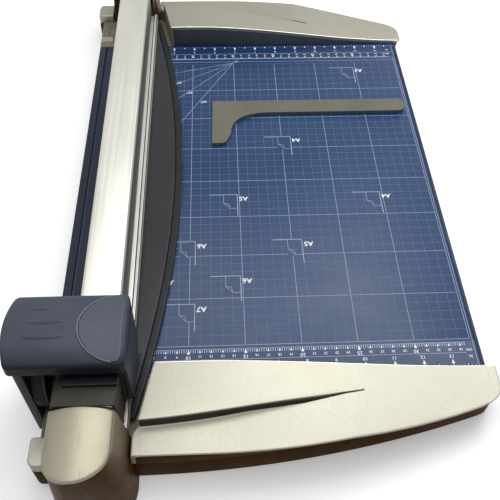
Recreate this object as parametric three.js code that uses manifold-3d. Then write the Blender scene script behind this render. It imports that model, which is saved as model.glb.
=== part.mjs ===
// Rotary paper trimmer: a long board with a cutting mat, two raised ends, a rail
// across them, a sliding cutter head, a sprung clamp bar with a guard, and a loose paper guide.
// Millimetres, +Z up. While the pieces are made, X = 0 is the cut line, Y = 0 the middle of
// the mat and Z = 0 the mat's upper face; the last group moves the origin to the table,
// under the middle of the whole trimmer.
import * as THREE from "three";
import { mergeVertices } from "three/addons/utils/BufferGeometryUtils.js";
import Module from "manifold-3d";

const wasm = await Module();
wasm.setup();

// Gap between pieces that rest on each other.
const seat = 0.3;
// How far a cutting shape reaches past the face that it cuts.
const overrun = 2;

// The board and what lies on it.
const matLength = 469;
const matRight = 354;
const matThickness = 2;
const matAboveTable = 30;
const steelThickness = 0.5;
const steelMargin = 4;
const stripLeft = -7.3;
const stripRight = 7;
const grooveWidth = 2;
const leftStripWidth = 8.2;
const trimWidth = 1.2;
const trimLip = 1.7;
const boardThickness = 16;
const stiffenerWidth = 26;
const stiffenerHeight = 6;
const stiffenerWall = 1.5;
const stiffenerCount = 3;

// The raised ends. Depths run outward from the paper stop.
const fenceThickness = 2.2;
const capLeftAtStop = 73;
const capLeftAtStep = 62.6;
const capLeftAtShelf = 57.5;
const capSideDepth = 50.8;
const capShelfCornerDepth = 56.5;
const capDepth = 75;
const capStraightTo = 120;
const capEdgeRadius = 694;
const capOverhangRight = 10.5;
const capCornerRadius = 20;
const capWall = 3;
const capHigh = 27;
const capLow = 4;
const slopeFrom = 100;
const slopeRun = 270;
const shelfHeight = 16;
const stepDepth = 51.5;
const stepAt = 28;
const stepRadius = 670;
const stepStraightFrom = 137;
const bodyDepth = 74;
const bodyStraightTo = 60;
const bodyEdgeRadius = 1000;
const bodyInset = 3.5;
const bodyClearance = 2;
const bodyWall = 3;
const bodyFloor = 3;
const bodyRibs = 5;
const bodyCorner = 12;
const heelLeft = -22.8;
const heelFrom = 54;
const heelDepth = 78;
const heelCorner = 6;
const heelRight = -3;
const blockWidth = 19;
const blockHeight = 9;
const blockCorner = 3;
const deckThickness = 2.8;

// The feet.
const footRadius = 9;
const footStemRadius = 3;
const footStemHeight = 4;
const footInFromSide = 24;
const footDepth = 38;

// The rail and what carries it.
const railLeft = 14;
const railRight = 48.4;
const railBottom = 28;
const railTop = 60;
const railCrown = 0.8;
const railWall = 2.4;
const railCorner = 2;
const towerDepth = 55;
const towerLeftLow = -5;
const towerRightLow = 60;
const towerPastRailLeft = 12;
const towerPastRailRight = 0.2;
const towerThickness = 52.2;
const towerWall = 3;
const screwBlockDrop = 11;
const towerCornerLeft = 16;
const towerCornerRight = 22;
const saddlePastRailLeft = 11;
const saddlePastRailRight = 2.8;
const saddleBelowRail = 6;
const saddleLength = 22;
const saddleCover = 2.2;
const plugLength = 18;
const screwRadius = 2.5;
const screwHeadRadius = 5;
const screwHeadHeight = 3;
const screwSeatDepth = 77.5;
const screwReach = 10;
const domePastRailLeft = 12.8;
const domePastRailRight = 0.8;
const domeLength = 56;
const domeAboveRail = 4;
const domeDrop = 7;
const domeWall = 2.5;
const domeCornerLeft = 20;
const domeCornerRight = 26;

// The clamp bar, its guide pins, springs and guard.
const clampLeft = 30;
const clampRight = 54;
const clampBottom = 4.8;
const clampTop = 13;
const clampEndGap = 4.3;
const clampTravel = 3;
const clampGrooveAt = 50.4;
const clampGrooveWidth = 1.2;
const clampGrooveDepth = 1.5;
const clampBevel = 0.8;
const pinAt = 38;
const pinFromEnd = 8;
const pinRadius = 2.5;
const pinHeadRadius = 4.5;
const pinHeadHeight = 2.5;
const pinClearance = 0.5;
const clampSpringRadius = 4.6;
const clampSpringWall = 1.2;
const springRoof = 1.7;
const guardReach = 36.5;
const guardRadius = 1180;
const guardHalfLength = 275;
const guardThickness = 1.6;
const guardHigh = 8.5;
const guardFall = 1.4;
const guardLeast = 2;
const rimWidth = 7;
const rimBottom = 4.8;
const rimTop = 7.3;

// The cutter head.
const headPastStop = 1.5;
const housingLeft = -35;
const housingPastRail = 10.1;
const housingBulge = 5;
const housingHalf = 32;
const housingFlare = 0.5;
const housingAboveRail = 12;
const housingHeight = 15;
const housingDrop = 5;
const housingWall = 3;
const housingCorner = 4;
const sideWallAboveClamp = 5;
const sideWallThickness = 4;
const panelThickness = 1;
const panelFromRight = 3;
const panelWidth = 33.5;
const panelHalf = 30;
const panelCorner = 8;
const headTravel = 3;
const cartridgeLeft = -25.2;
const skirtRight = -18.4;
const cartridgeRight = -8;
const cartridgeHalf = 25;
const skirtHalf = 32;
const skirtBelowHousing = 0.6;
const cartridgeBelowCrown = 6.8;
const skirtBottom = -23;
const skirtCorner = 2;
const noseLeft = -23.5;
const noseRadius = 31;
const neckHalf = 17;
const noseAbove = 3.5;
const bladeRadius = 22.5;
const bladeThickness = 0.5;
const bladeAbove = 3.2;
const bladeGap = 0.35;
const hubRadius = 12;
const axleRadius = 3.9;
const axleReach = 3;
const capNutRadius = 9;
const capNutThickness = 4;
const capNutRoof = 1;

// The carriage that runs on the rail under the housing.
const carriageHalf = 28;
const carriageWall = 3;
const carriageRoof = 3;
const carriageSideGap = 0.6;
const hookReach = 11;
const hookThickness = 2.5;
const glideThickness = 1.7;
const glideInset = 2;
const lowerGlideThickness = 1.3;
const lowerGlideWidth = 6;
const springSpread = 18;
const pressSpringRadius = 4.5;
const pressSpringWall = 1.4;
const spigotRadius = 2.4;
const spigotHeight = 5;
const bossRadius = 6;
const bossLength = 7;

// The loose paper guide.
const guideFromRight = 7.2;
const guideLength = 225;
const guideFar = 119.8;
const guideArm = 20.5;
const guideFoot = 70.3;
const guideFootWidth = 15.5;
const guideFootFlare = 6.5;
const guideFilletRun = 47;
const guideFilletFall = 33.3;
const guideThickness = 4;
const guideEndRadius = 9;
const guideCorner = 6;
const magnetRadius = 5;
const magnetThickness = 2.2;
const magnetFromEnd = 18;

// Segments of the round stretches.
const roundSteps = 32;
const cornerSteps = 5;
const sweepSteps = 16;

// Places worked out from the sizes above.
const matHalf = matLength / 2;
const stopAt = matHalf + seat;
const boardLeft = stripLeft - grooveWidth - leftStripWidth;
const boardRight = matRight + seat + trimWidth;
const boardTop = -(matThickness + steelThickness + 2 * seat);
const boardBottom = boardTop - boardThickness;
const boardHalf = stopAt + seat + fenceThickness;
const tableLevel = -matAboveTable;
const bodyBottom = tableLevel + bodyClearance;
const bodyFrom = boardHalf + seat;
const capRight = matRight + capOverhangRight;
const bodyRight = capRight - bodyInset;
const towerFrom = stopAt + towerDepth;
const railHalf = towerFrom - 2 * seat;
const railMiddle = (railLeft + railRight) / 2;
const railCentre = (railBottom + railTop) / 2;
const towerLeftHigh = railLeft - towerPastRailLeft;
const towerRightHigh = railRight + towerPastRailRight;
const saddleLeft = railLeft - saddlePastRailLeft;
const saddleRight = railRight + saddlePastRailRight;
const saddleBottom = railBottom - saddleBelowRail;
const domeLeft = railLeft - domePastRailLeft;
const domeRight = railRight + domePastRailRight;
const domeCrown = railTop + domeAboveRail;
const clampHalf = towerFrom - clampEndGap;
const headAt = -(stopAt + headPastStop);
const housingRight = railRight + housingPastRail;
const housingBottom = railTop + housingAboveRail;
const housingCrown = housingBottom + housingHeight;
const sideWallBottom = clampTop + sideWallAboveClamp;
const panelRight = housingRight - panelFromRight;
const panelLeft = panelRight - panelWidth;
const cartridgeTop = housingCrown - cartridgeBelowCrown;
const bossBottom = housingCrown - bossLength;
const bladeCentre = bladeAbove + bladeRadius;
const carriageTop = railTop + glideThickness + carriageRoof + 2 * seat;
const carriageLeft = railLeft - glideThickness - carriageWall - 2 * seat;
const carriageRight = housingRight - sideWallThickness - carriageSideGap;
const hookTop = railBottom - lowerGlideThickness - 2 * seat;
const guideLeft = matRight - guideFromRight - guideLength;
const above = domeCrown + domeDrop;

// Materials.
function plain(color, roughness, metalness = 0) {
  return new THREE.MeshStandardMaterial({ color, roughness, metalness });
}
const navy = plain(0x34486f, 0.55);
const matBlue = plain(0x415a87, 0.6);
const taupe = plain(0x46301a, 0.6);
const slate = plain(0x2d323a, 0.6);
const silver = plain(0xdedacb, 0.38, 0.3);
const greyPlastic = plain(0x6e6a5f, 0.6);
const darkGrey = plain(0x3a3a36, 0.6);
const aluminium = plain(0xdcdcd2, 0.35, 0.8);
const smoked = plain(0x3c3c3e, 0.3);
const nearBlack = plain(0x17181a, 0.5);
const headBlue = plain(0x4b5064, 0.5);
const headDark = plain(0x3b4056, 0.5);
const steel = plain(0xb8bcc0, 0.3, 1);
const nylon = plain(0xe8e6dc, 0.5);
const rubber = plain(0x1c1c1c, 0.9);
const guideGrey = plain(0x70706a, 0.6);

// Points and outlines.
function point(x, y) {
  return new THREE.Vector2(x, y);
}

// A smooth row of points (x, height(x)).
function along(from, to, steps, height) {
  return Array.from({ length: steps + 1 }, (unused, i) => {
    const x = from + ((to - from) * i) / steps;
    return point(x, height(x));
  });
}

function circle(x, y, radius, steps = roundSteps) {
  return Array.from({ length: steps }, (unused, i) => {
    const turn = (2 * Math.PI * i) / steps;
    return point(x + radius * Math.cos(turn), y + radius * Math.sin(turn));
  });
}

function rectangle(x0, x1, y0, y1) {
  return [point(x0, y0), point(x1, y0), point(x1, y1), point(x0, y1)];
}

// An outline whose corners are [x, y, radius]; a corner with no radius stays sharp.
function rounded(corners) {
  const points = [];
  corners.forEach(([x, y, radius = 0], i) => {
    const here = point(x, y);
    if (!radius) {
      points.push(here);
      return;
    }
    const before = corners[(i + corners.length - 1) % corners.length];
    const after = corners[(i + 1) % corners.length];
    const back = point(before[0], before[1]).sub(here).normalize();
    const on = point(after[0], after[1]).sub(here).normalize();
    const halfAngle = Math.acos(back.dot(on)) / 2;
    const inner = back.clone().add(on).normalize();
    const centre = here.clone().addScaledVector(inner, radius / Math.sin(halfAngle));
    const start = here.clone().addScaledVector(back, radius / Math.tan(halfAngle)).sub(centre);
    const end = here.clone().addScaledVector(on, radius / Math.tan(halfAngle)).sub(centre);
    const turn = Math.atan2(start.cross(end), start.dot(end));
    for (let k = 0; k <= cornerSteps; k++) {
      points.push(start.clone().rotateAround(point(0, 0), (turn * k) / cornerSteps).add(centre));
    }
  });
  return points;
}

// The outline drawn inward by a wall; the points run anticlockwise.
function inset(points, wall) {
  const shape = THREE.ShapeUtils.isClockWise(points) ? [...points].reverse() : points;
  return shape.map((here, i) => {
    const before = shape[(i + shape.length - 1) % shape.length];
    const after = shape[(i + 1) % shape.length];
    const edgeIn = here.clone().sub(before).normalize();
    const edgeOut = after.clone().sub(here).normalize();
    const normal = point(-edgeIn.y - edgeOut.y, edgeIn.x + edgeOut.x).normalize();
    const spread = Math.max(normal.dot(point(-edgeIn.y, edgeIn.x)), 0.5);
    return here.clone().addScaledVector(normal, wall / spread);
  });
}

// An outline extruded, with its axes laid along three given directions.
function extruded(outline, depth, holes, xAxis, yAxis, zAxis, origin) {
  const shape = new THREE.Shape(outline);
  shape.holes = holes.map((hole) => new THREE.Path(hole));
  const geometry = new THREE.ExtrudeGeometry(shape, { depth, bevelEnabled: false, steps: 1 });
  const lay = new THREE.Matrix4().makeBasis(xAxis, yAxis, zAxis).setPosition(origin);
  return geometry.applyMatrix4(lay);
}

const alongX = new THREE.Vector3(1, 0, 0);
const alongY = new THREE.Vector3(0, 1, 0);
const alongZ = new THREE.Vector3(0, 0, 1);
const againstY = new THREE.Vector3(0, -1, 0);

// A plan outline (x, y) standing between two heights.
function standing(outline, z0, z1, holes = []) {
  const origin = new THREE.Vector3(0, 0, z0);
  return extruded(outline, z1 - z0, holes, alongX, alongY, alongZ, origin);
}

// A section (x, z) running along Y.
function lengthwise(outline, y0, y1, holes = []) {
  const origin = new THREE.Vector3(0, y1, 0);
  return extruded(outline, y1 - y0, holes, alongX, alongZ, againstY, origin);
}

// A section (y, z) running along X.
function crosswise(outline, x0, x1, holes = []) {
  const origin = new THREE.Vector3(x0, 0, 0);
  return extruded(outline, x1 - x0, holes, alongY, alongZ, alongX, origin);
}

function block(x0, x1, y0, y1, z0, z1) {
  return standing(rectangle(x0, x1, y0, y1), z0, z1);
}

function post(x, y, radius, z0, z1, holes = []) {
  return standing(circle(x, y, radius), z0, z1, holes);
}

// A closed skin between two outlines with the same number of points.
function loft(low, z0, high, z1) {
  const count = low.length;
  const positions = [];
  low.forEach((p) => positions.push(p.x, p.y, z0));
  high.forEach((p) => positions.push(p.x, p.y, z1));
  const index = [];
  for (let i = 0; i < count; i++) {
    const next = (i + 1) % count;
    index.push(i, next, count + next, i, count + next, count + i);
  }
  for (const [a, b, c] of THREE.ShapeUtils.triangulateShape(low, [])) {
    index.push(c, b, a, count + a, count + b, count + c);
  }
  const geometry = new THREE.BufferGeometry();
  geometry.setAttribute("position", new THREE.Float32BufferAttribute(positions, 3));
  return geometry.setIndex(index);
}

// Solids for cutting and joining.
function solid(geometry) {
  const bare = new THREE.BufferGeometry();
  bare.setAttribute("position", geometry.getAttribute("position"));
  if (geometry.index) {
    bare.setIndex(geometry.index);
  }
  const merged = mergeVertices(bare);
  const vertProperties = new Float32Array(merged.getAttribute("position").array);
  const triVerts = new Uint32Array(merged.index.array);
  return new wasm.Manifold(new wasm.Mesh({ numProp: 3, vertProperties, triVerts }));
}

function cut(body, ...tools) {
  return tools.reduce((left, tool) => left.subtract(solid(tool)), body);
}

function joined(...geometries) {
  return geometries.map(solid).reduce((sum, next) => sum.add(next));
}

function geometryOf(body) {
  const mesh = body.getMesh();
  const geometry = new THREE.BufferGeometry();
  const positions = [];
  for (let i = 0; i < mesh.numVert; i++) {
    positions.push(...mesh.vertProperties.subarray(i * mesh.numProp, i * mesh.numProp + 3));
  }
  geometry.setAttribute("position", new THREE.Float32BufferAttribute(positions, 3));
  geometry.setIndex([...mesh.triVerts]);
  const flat = geometry.toNonIndexed();
  flat.computeVertexNormals();
  return flat;
}

// Adds one named mesh to a group.
function piece(group, name, geometry, material) {
  const mesh = new THREE.Mesh(geometry.isBufferGeometry ? geometry : geometryOf(geometry), material);
  mesh.name = name;
  group.add(mesh);
  return mesh;
}

// The board, the mat and the strips on it.
function makeBoard(group) {
  const bed = boardTop + seat;
  const board = block(boardLeft, boardRight, -boardHalf, boardHalf, boardBottom, boardTop);
  piece(group, "base_board", board, navy);
  piece(
    group,
    "steel_sheet",
    block(
      stripRight + seat + steelMargin,
      matRight - steelMargin,
      steelMargin - matHalf,
      matHalf - steelMargin,
      bed,
      bed + steelThickness,
    ),
    steel,
  );
  const mat = block(stripRight + seat, matRight, -matHalf, matHalf, -matThickness, 0);
  piece(group, "cutting_mat", mat, matBlue);
  piece(group, "cutting_strip", block(stripLeft, stripRight, -matHalf, matHalf, bed, 0), navy);
  const stripEnd = boardLeft + leftStripWidth;
  piece(group, "left_edge_strip", block(boardLeft, stripEnd, -matHalf, matHalf, bed, 0), navy);
  const trim = [
    point(matRight + seat, bed),
    point(boardRight + seat, bed),
    point(boardRight + seat, boardBottom),
    point(boardRight + seat + trimLip, boardBottom),
    point(boardRight + seat + trimLip, 0),
    point(matRight + seat, 0),
  ];
  piece(group, "right_edge_trim", lengthwise(trim, -matHalf, matHalf), navy);
}

// Steel channels under the board, open side down.
function makeStiffeners(group) {
  const top = boardBottom - seat;
  const bottom = top - stiffenerHeight;
  const spacing = (boardRight - boardLeft) / stiffenerCount;
  for (let i = 0; i < stiffenerCount; i++) {
    const middle = boardLeft + spacing * (i + 1 / 2);
    const x0 = middle - stiffenerWidth / 2;
    const x1 = middle + stiffenerWidth / 2;
    const section = [
      point(x0, bottom),
      point(x0, top),
      point(x1, top),
      point(x1, bottom),
      point(x1 - stiffenerWall, bottom),
      point(x1 - stiffenerWall, top - stiffenerWall),
      point(x0 + stiffenerWall, top - stiffenerWall),
      point(x0 + stiffenerWall, bottom),
    ];
    piece(group, `board_stiffener_${i + 1}`, lengthwise(section, -boardHalf, boardHalf), steel);
  }
}

// An edge that runs straight and then falls back along a wide arc.
function fallingEdge(depth, straightTo, radius) {
  return (x) => {
    const past = Math.max(x - straightTo, 0);
    return depth - (radius - Math.sqrt(radius ** 2 - past ** 2));
  };
}
const capEdge = fallingEdge(stopAt + capDepth, capStraightTo, capEdgeRadius);
const bodyEdge = fallingEdge(stopAt + bodyDepth, bodyStraightTo, bodyEdgeRadius);

// The step between the plateau and the lower shelf, curved at first and then straight.
function stepEdge(x) {
  const bent = Math.min(x, stepStraightFrom) - stepAt;
  const level = Math.sqrt(stepRadius ** 2 - bent ** 2);
  const straight = Math.max(x - stepStraightFrom, 0);
  return stopAt + stepDepth - (stepRadius - level) - (straight * bent) / level;
}

// Height of the plateau, which sinks smoothly to the right.
function plateau(x) {
  const share = THREE.MathUtils.smoothstep(x, slopeFrom, slopeFrom + slopeRun);
  return capHigh - (capHigh - capLow) * share;
}

// The left edge of the end cap, moved right by a shift.
function capLeftEdge(shift) {
  return [
    point(capLeftAtStop + shift, stopAt),
    point(capLeftAtStep + shift, stopAt + capSideDepth),
    point(capLeftAtShelf + shift, stopAt + capShelfCornerDepth),
    point(capLeftAtShelf + shift, stopAt + capDepth),
  ];
}

// All that lies under the end cap's upper faces, lowered by drop and kept right of its left wall.
function underCap(drop) {
  const far = stopAt + capDepth + overrun;
  const right = capRight + overrun;
  const slope = along(capLeftAtShelf, right, 2 * sweepSteps, (x) => plateau(x) - drop);
  const high = lengthwise([...slope, point(right, bodyBottom), point(capLeftAtShelf, bodyBottom)], 0, far);
  const edge = along(capLeftAtShelf - overrun, right, 2 * sweepSteps, (x) => stepEdge(x) - drop);
  const beyond = [...edge, point(right, far + overrun), point(capLeftAtShelf - overrun, far + overrun)];
  const leftEdge = capLeftEdge(drop);
  const plan = [
    point(leftEdge[0].x, 0),
    ...leftEdge,
    point(leftEdge[3].x, far),
    point(right, far),
    point(right, 0),
  ];
  const kept = standing(plan, bodyBottom, above);
  return cut(solid(high), standing(beyond, shelfHeight - drop, above)).intersect(solid(kept));
}

function capOutline() {
  const run = along(capLeftAtShelf, capRight - capCornerRadius, sweepSteps, capEdge);
  const last = run[run.length - 1];
  const corner = new THREE.QuadraticBezierCurve(
    last,
    point(capRight, capEdge(capRight)),
    point(capRight, last.y - capCornerRadius),
  );
  const left = capLeftEdge(0);
  const turn = corner.getPoints(cornerSteps).slice(1);
  return [left[0], left[1], left[2], ...run, ...turn, point(capRight, stopAt)];
}

// The plan of the end body, with a heel at its left that carries the small block.
function bodyOutline() {
  const rightRun = along(bodyStraightTo, bodyRight - bodyCorner, sweepSteps, bodyEdge);
  const last = rightRun[rightRun.length - 1];
  const corner = new THREE.QuadraticBezierCurve(
    last,
    point(bodyRight, bodyEdge(bodyRight)),
    point(bodyRight, last.y - bodyCorner),
  );
  const heel = rounded([
    [boardLeft, stopAt + heelFrom - (boardLeft - heelLeft)],
    [heelLeft, stopAt + heelFrom],
    [heelLeft, stopAt + heelDepth, heelCorner],
    [heelRight, stopAt + heelDepth],
  ]);
  return [
    point(boardLeft, bodyFrom),
    ...heel,
    ...rightRun,
    ...corner.getPoints(cornerSteps).slice(1),
    point(bodyRight, bodyFrom),
  ];
}

// Cross ribs of an end, each reaching the walls, within a given solid.
function withRibs(walls, whole) {
  const gap = (bodyRight - boardLeft) / (bodyRibs + 1);
  let body = walls;
  for (let i = 1; i <= bodyRibs; i++) {
    const x = boardLeft + gap * i;
    const rib = block(x - bodyWall / 2, x + bodyWall / 2, bodyFrom, stopAt + capDepth, bodyBottom, above);
    body = body.add(solid(rib).intersect(whole));
  }
  return body;
}

// The plastic tray under an end: floor, walls and cross ribs, open at the top.
function makeTray(group, side) {
  const outline = bodyOutline();
  const whole = solid(standing(outline, bodyBottom, boardTop));
  const hollow = standing(inset(outline, bodyWall), bodyBottom + bodyFloor, above);
  let tray = withRibs(cut(whole, hollow), whole);
  for (const [x, y] of footPlaces()) {
    const hole = post(x, y, footStemRadius + seat, bodyBottom - overrun, bodyBottom + bodyFloor + overrun);
    tray = cut(tray, hole);
  }
  piece(group, `${side}_end_tray`, tray, taupe);
}

// The walls that stand on the tray and carry the cap.
function makeRiser(group, side) {
  const outline = bodyOutline();
  const whole = solid(standing(outline, boardTop + seat, above)).intersect(underCap(capWall + seat));
  const left = capLeftEdge(capWall + seat);
  const far = stopAt + capDepth + overrun;
  const kept = [
    ...left.slice(0, 3),
    point(left[3].x, far),
    point(bodyRight, far),
    point(bodyRight, bodyFrom),
  ];
  const hollow = solid(standing(inset(outline, bodyWall), boardTop, above));
  const inside = hollow.intersect(solid(standing(inset(kept, bodyWall), boardTop, above)));
  piece(group, `${side}_end_riser`, withRibs(whole.subtract(inside), whole), taupe);
}

// The silver lid of an end, with its left wall.
function makeEndCap(group, side) {
  const outer = solid(standing(capOutline(), seat, above));
  piece(group, `${side}_end_cap`, outer.intersect(underCap(0)).subtract(underCap(capWall)), silver);
}

// The upright face that paper is squared against.
function makeFence(group, side) {
  const left = capLeftAtStop + capWall + seat;
  const from = stopAt + seat;
  const plate = block(left, bodyRight, from, from + fenceThickness, boardTop + seat, above);
  piece(group, `${side}_end_fence`, solid(plate).intersect(underCap(capWall + seat)), slate);
}

// The grey deck between the cap and the left edge, on which the tower stands.
function makeDeck(group, side) {
  const [atStop, atStep, atShelf] = capLeftEdge(capWall - seat);
  const plan = [
    point(boardLeft, stopAt),
    atStop,
    atStep,
    atShelf,
    point(atShelf.x, stopAt + bodyDepth),
    point(heelRight - seat, stopAt + bodyDepth),
    point(heelRight - seat, stopAt + heelFrom - seat),
    point(boardLeft, stopAt + heelFrom - seat),
  ];
  piece(group, `${side}_end_deck`, standing(plan, -deckThickness, 0), greyPlastic);
}

function makeEndBlock(group, side) {
  const from = stopAt + heelFrom;
  const corners = [
    [heelLeft, from, blockCorner],
    [heelLeft + blockWidth, from, 0],
    [heelLeft + blockWidth, stopAt + heelDepth, 0],
    [heelLeft, stopAt + heelDepth, heelCorner],
  ];
  piece(group, `${side}_end_block`, standing(rounded(corners), -deckThickness, blockHeight), silver);
}

// Where the two feet of an end sit.
function footPlaces() {
  const y = stopAt + footDepth;
  return [
    [boardLeft + footInFromSide, y],
    [bodyRight - footInFromSide, stopAt + footDepth / 2],
  ];
}

function makeFeet(group, side) {
  const profile = [
    point(0, tableLevel),
    point(footRadius, tableLevel),
    point(footRadius, bodyBottom - seat),
    point(footStemRadius, bodyBottom - seat),
    point(footStemRadius, bodyBottom + footStemHeight),
    point(0, bodyBottom + footStemHeight),
  ];
  footPlaces().forEach(([x, y], i) => {
    const foot = new THREE.LatheGeometry(profile, roundSteps).rotateX(Math.PI / 2).translate(x, y, 0);
    piece(group, `${side}_foot_${i === 0 ? "left" : "right"}`, foot, rubber);
  });
}

// Height of the dome cover's upper face across X.
function domeHeight(x) {
  const half = (domeRight - domeLeft) / 2;
  return domeCrown - domeDrop * ((x - domeLeft - half) / half) ** 2;
}

// All that lies under the dome cover's upper face, lowered by drop.
function underDome(drop, from, to) {
  const arch = along(domeLeft - overrun, domeRight + overrun, sweepSteps, (x) => domeHeight(x) - drop);
  return lengthwise([...arch, point(domeRight + overrun, 0), point(domeLeft - overrun, 0)], from, to);
}

// The plan of the tower at one height.
function towerPlan(left, right) {
  const to = towerFrom + towerThickness;
  return rounded([
    [left, towerFrom],
    [right, towerFrom],
    [right, to, towerCornerRight],
    [left, to, towerCornerLeft],
  ]);
}

// All that lies under the dome cover in the tower, down past the tray's underside.
function insideTower(drop) {
  const far = towerFrom + domeLength;
  const base = bodyBottom - overrun;
  const below = block(towerLeftLow - overrun, towerRightLow + overrun, 0, far, base, railCentre);
  return solid(underDome(drop, 0, far)).add(solid(below));
}

// The hollow tower that carries the rail's end and reaches down in front of the tray.
function makeTower(group, side) {
  const low = towerPlan(towerLeftLow, towerRightLow);
  const high = towerPlan(towerLeftHigh, towerRightHigh);
  const seatAt = stopAt + screwSeatDepth;
  const outer = solid(loft(low, bodyBottom, high, domeCrown)).intersect(insideTower(domeWall + seat));
  const bore = loft(inset(low, towerWall), bodyBottom - overrun, inset(high, towerWall), domeCrown);
  const screwBlock = block(
    towerLeftLow,
    towerRightLow,
    towerFrom - overrun,
    seatAt,
    railCentre - screwBlockDrop,
    domeCrown,
  );
  const hollow = solid(bore)
    .intersect(insideTower(domeWall + seat + towerWall))
    .subtract(solid(screwBlock));
  const tray = standing(inset(bodyOutline(), -seat), bodyBottom - overrun, seat);
  const shaft = crossHole(screwRadius + seat, towerFrom - overrun, seatAt + overrun);
  piece(group, `${side}_support_tower`, cut(outer.subtract(hollow), tray, shaft), greyPlastic);
}

// A round bar along Y at the middle of the rail.
function crossHole(radius, from, to) {
  return lengthwise(circle(railMiddle, railCentre, radius), from, to);
}

// The dark collar round the rail's end.
function makeSaddle(group, side) {
  const outer = rounded([
    [saddleLeft, saddleBottom],
    [saddleRight, saddleBottom],
    [saddleRight, railTop + saddleCover, railCorner],
    [saddleLeft, railTop + saddleCover, railCorner],
  ]);
  const bore = rectangle(railLeft - seat, railRight + seat, railBottom - seat, railTop + seat);
  const to = towerFrom - seat;
  piece(group, `${side}_rail_saddle`, lengthwise(outer, to - saddleLength, to, [bore]), darkGrey);
}

function makeDome(group, side) {
  const from = towerFrom + 2 * seat;
  const to = from + domeLength;
  const plan = rounded([
    [domeLeft, from],
    [domeRight, from],
    [domeRight, to, domeCornerRight],
    [domeLeft, to, domeCornerLeft],
  ]);
  const top = solid(underDome(0, from - overrun, to + overrun));
  const shell = solid(standing(plan, 0, above)).intersect(top);
  const hollow = underDome(domeWall, from - 2 * overrun, to + 2 * overrun);
  piece(group, `${side}_dome_cover`, cut(shell, hollow), silver);
}

// The plug in the rail's end and the screw that holds the rail to its tower.
function makeRailFixing(group, side) {
  const plugOutline = rectangle(
    railLeft + railWall + seat,
    railRight - railWall - seat,
    railBottom + railWall + seat,
    railTop - railCrown - railWall - seat,
  );
  const hole = crossHole(screwRadius + seat, railHalf - screwReach - seat, railHalf + overrun);
  const plug = cut(solid(lengthwise(plugOutline, railHalf - plugLength, railHalf)), hole);
  piece(group, `${side}_rail_plug`, plug, nylon);
  const seatAt = stopAt + screwSeatDepth + seat;
  const screw = joined(
    crossHole(screwRadius, railHalf - screwReach, seatAt + screwRadius),
    crossHole(screwHeadRadius, seatAt, seatAt + screwHeadHeight),
  );
  piece(group, `${side}_rail_screw`, screw, steel);
}

// The guide pin and the spring of the clamp bar, which stand on the deck.
function makeClampPin(group, side) {
  const y = clampHalf - pinFromEnd;
  const pin = joined(
    post(pinAt, y, pinRadius, seat, clampTop + pinHeadHeight),
    post(pinAt, y, pinHeadRadius, clampTop + seat, clampTop + seat + pinHeadHeight),
  );
  piece(group, `${side}_clamp_pin`, pin, steel);
  const bore = circle(pinAt, y, clampSpringRadius - clampSpringWall);
  const top = clampTop - springRoof - clampTravel - seat;
  piece(group, `${side}_clamp_spring`, post(pinAt, y, clampSpringRadius, seat, top, [bore]), steel);
}

// One end of the trimmer, made toward +Y.
function makeEnd(group, side) {
  makeTray(group, side);
  makeRiser(group, side);
  makeEndCap(group, side);
  makeFence(group, side);
  makeDeck(group, side);
  makeEndBlock(group, side);
  makeFeet(group, side);
  makeTower(group, side);
  makeSaddle(group, side);
  makeDome(group, side);
  makeRailFixing(group, side);
  makeClampPin(group, side);
}

function makeRail(group) {
  const width = railRight - railLeft;
  const crown = (x) => railTop - railCrown * ((2 * (x - railMiddle)) / width) ** 2;
  const top = along(railLeft + railCorner, railRight - railCorner, 6, crown).reverse();
  const outer = [
    point(railLeft, railBottom),
    point(railRight, railBottom),
    point(railRight, railTop - railCrown - railCorner),
    ...top,
    point(railLeft, railTop - railCrown - railCorner),
  ];
  const bore = rectangle(
    railLeft + railWall,
    railRight - railWall,
    railBottom + railWall,
    railTop - railCrown - railWall,
  );
  piece(group, "rail", lengthwise(outer, -railHalf, railHalf, [bore]), aluminium);
}

// The clamp bar, with holes for its pins and pockets for its springs.
function makeClampBar(group) {
  const grooveEnd = clampGrooveAt + clampGrooveWidth;
  const section = [
    point(clampLeft, clampBottom),
    point(clampRight, clampBottom),
    point(clampRight, clampTop - clampBevel),
    point(clampRight - clampBevel, clampTop),
    point(grooveEnd, clampTop),
    point(grooveEnd, clampTop - clampGrooveDepth),
    point(clampGrooveAt, clampTop - clampGrooveDepth),
    point(clampGrooveAt, clampTop),
    point(clampLeft + clampBevel, clampTop),
    point(clampLeft, clampTop - clampBevel),
  ];
  const bar = solid(lengthwise(section, -clampHalf, clampHalf));
  const y = clampHalf - pinFromEnd;
  const tools = [-y, y].flatMap((place) => [
    post(pinAt, place, pinRadius + pinClearance, clampBottom - overrun, clampTop + overrun),
    post(pinAt, place, clampSpringRadius + pinClearance, clampBottom - overrun, clampTop - springRoof),
  ]);
  piece(group, "clamp_bar", cut(bar, ...tools), aluminium);
}

// How far the guard's outer edge reaches at a place along the bar.
function guardEdge(y) {
  return clampRight + guardReach - (guardRadius - Math.sqrt(guardRadius ** 2 - y ** 2));
}

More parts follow.
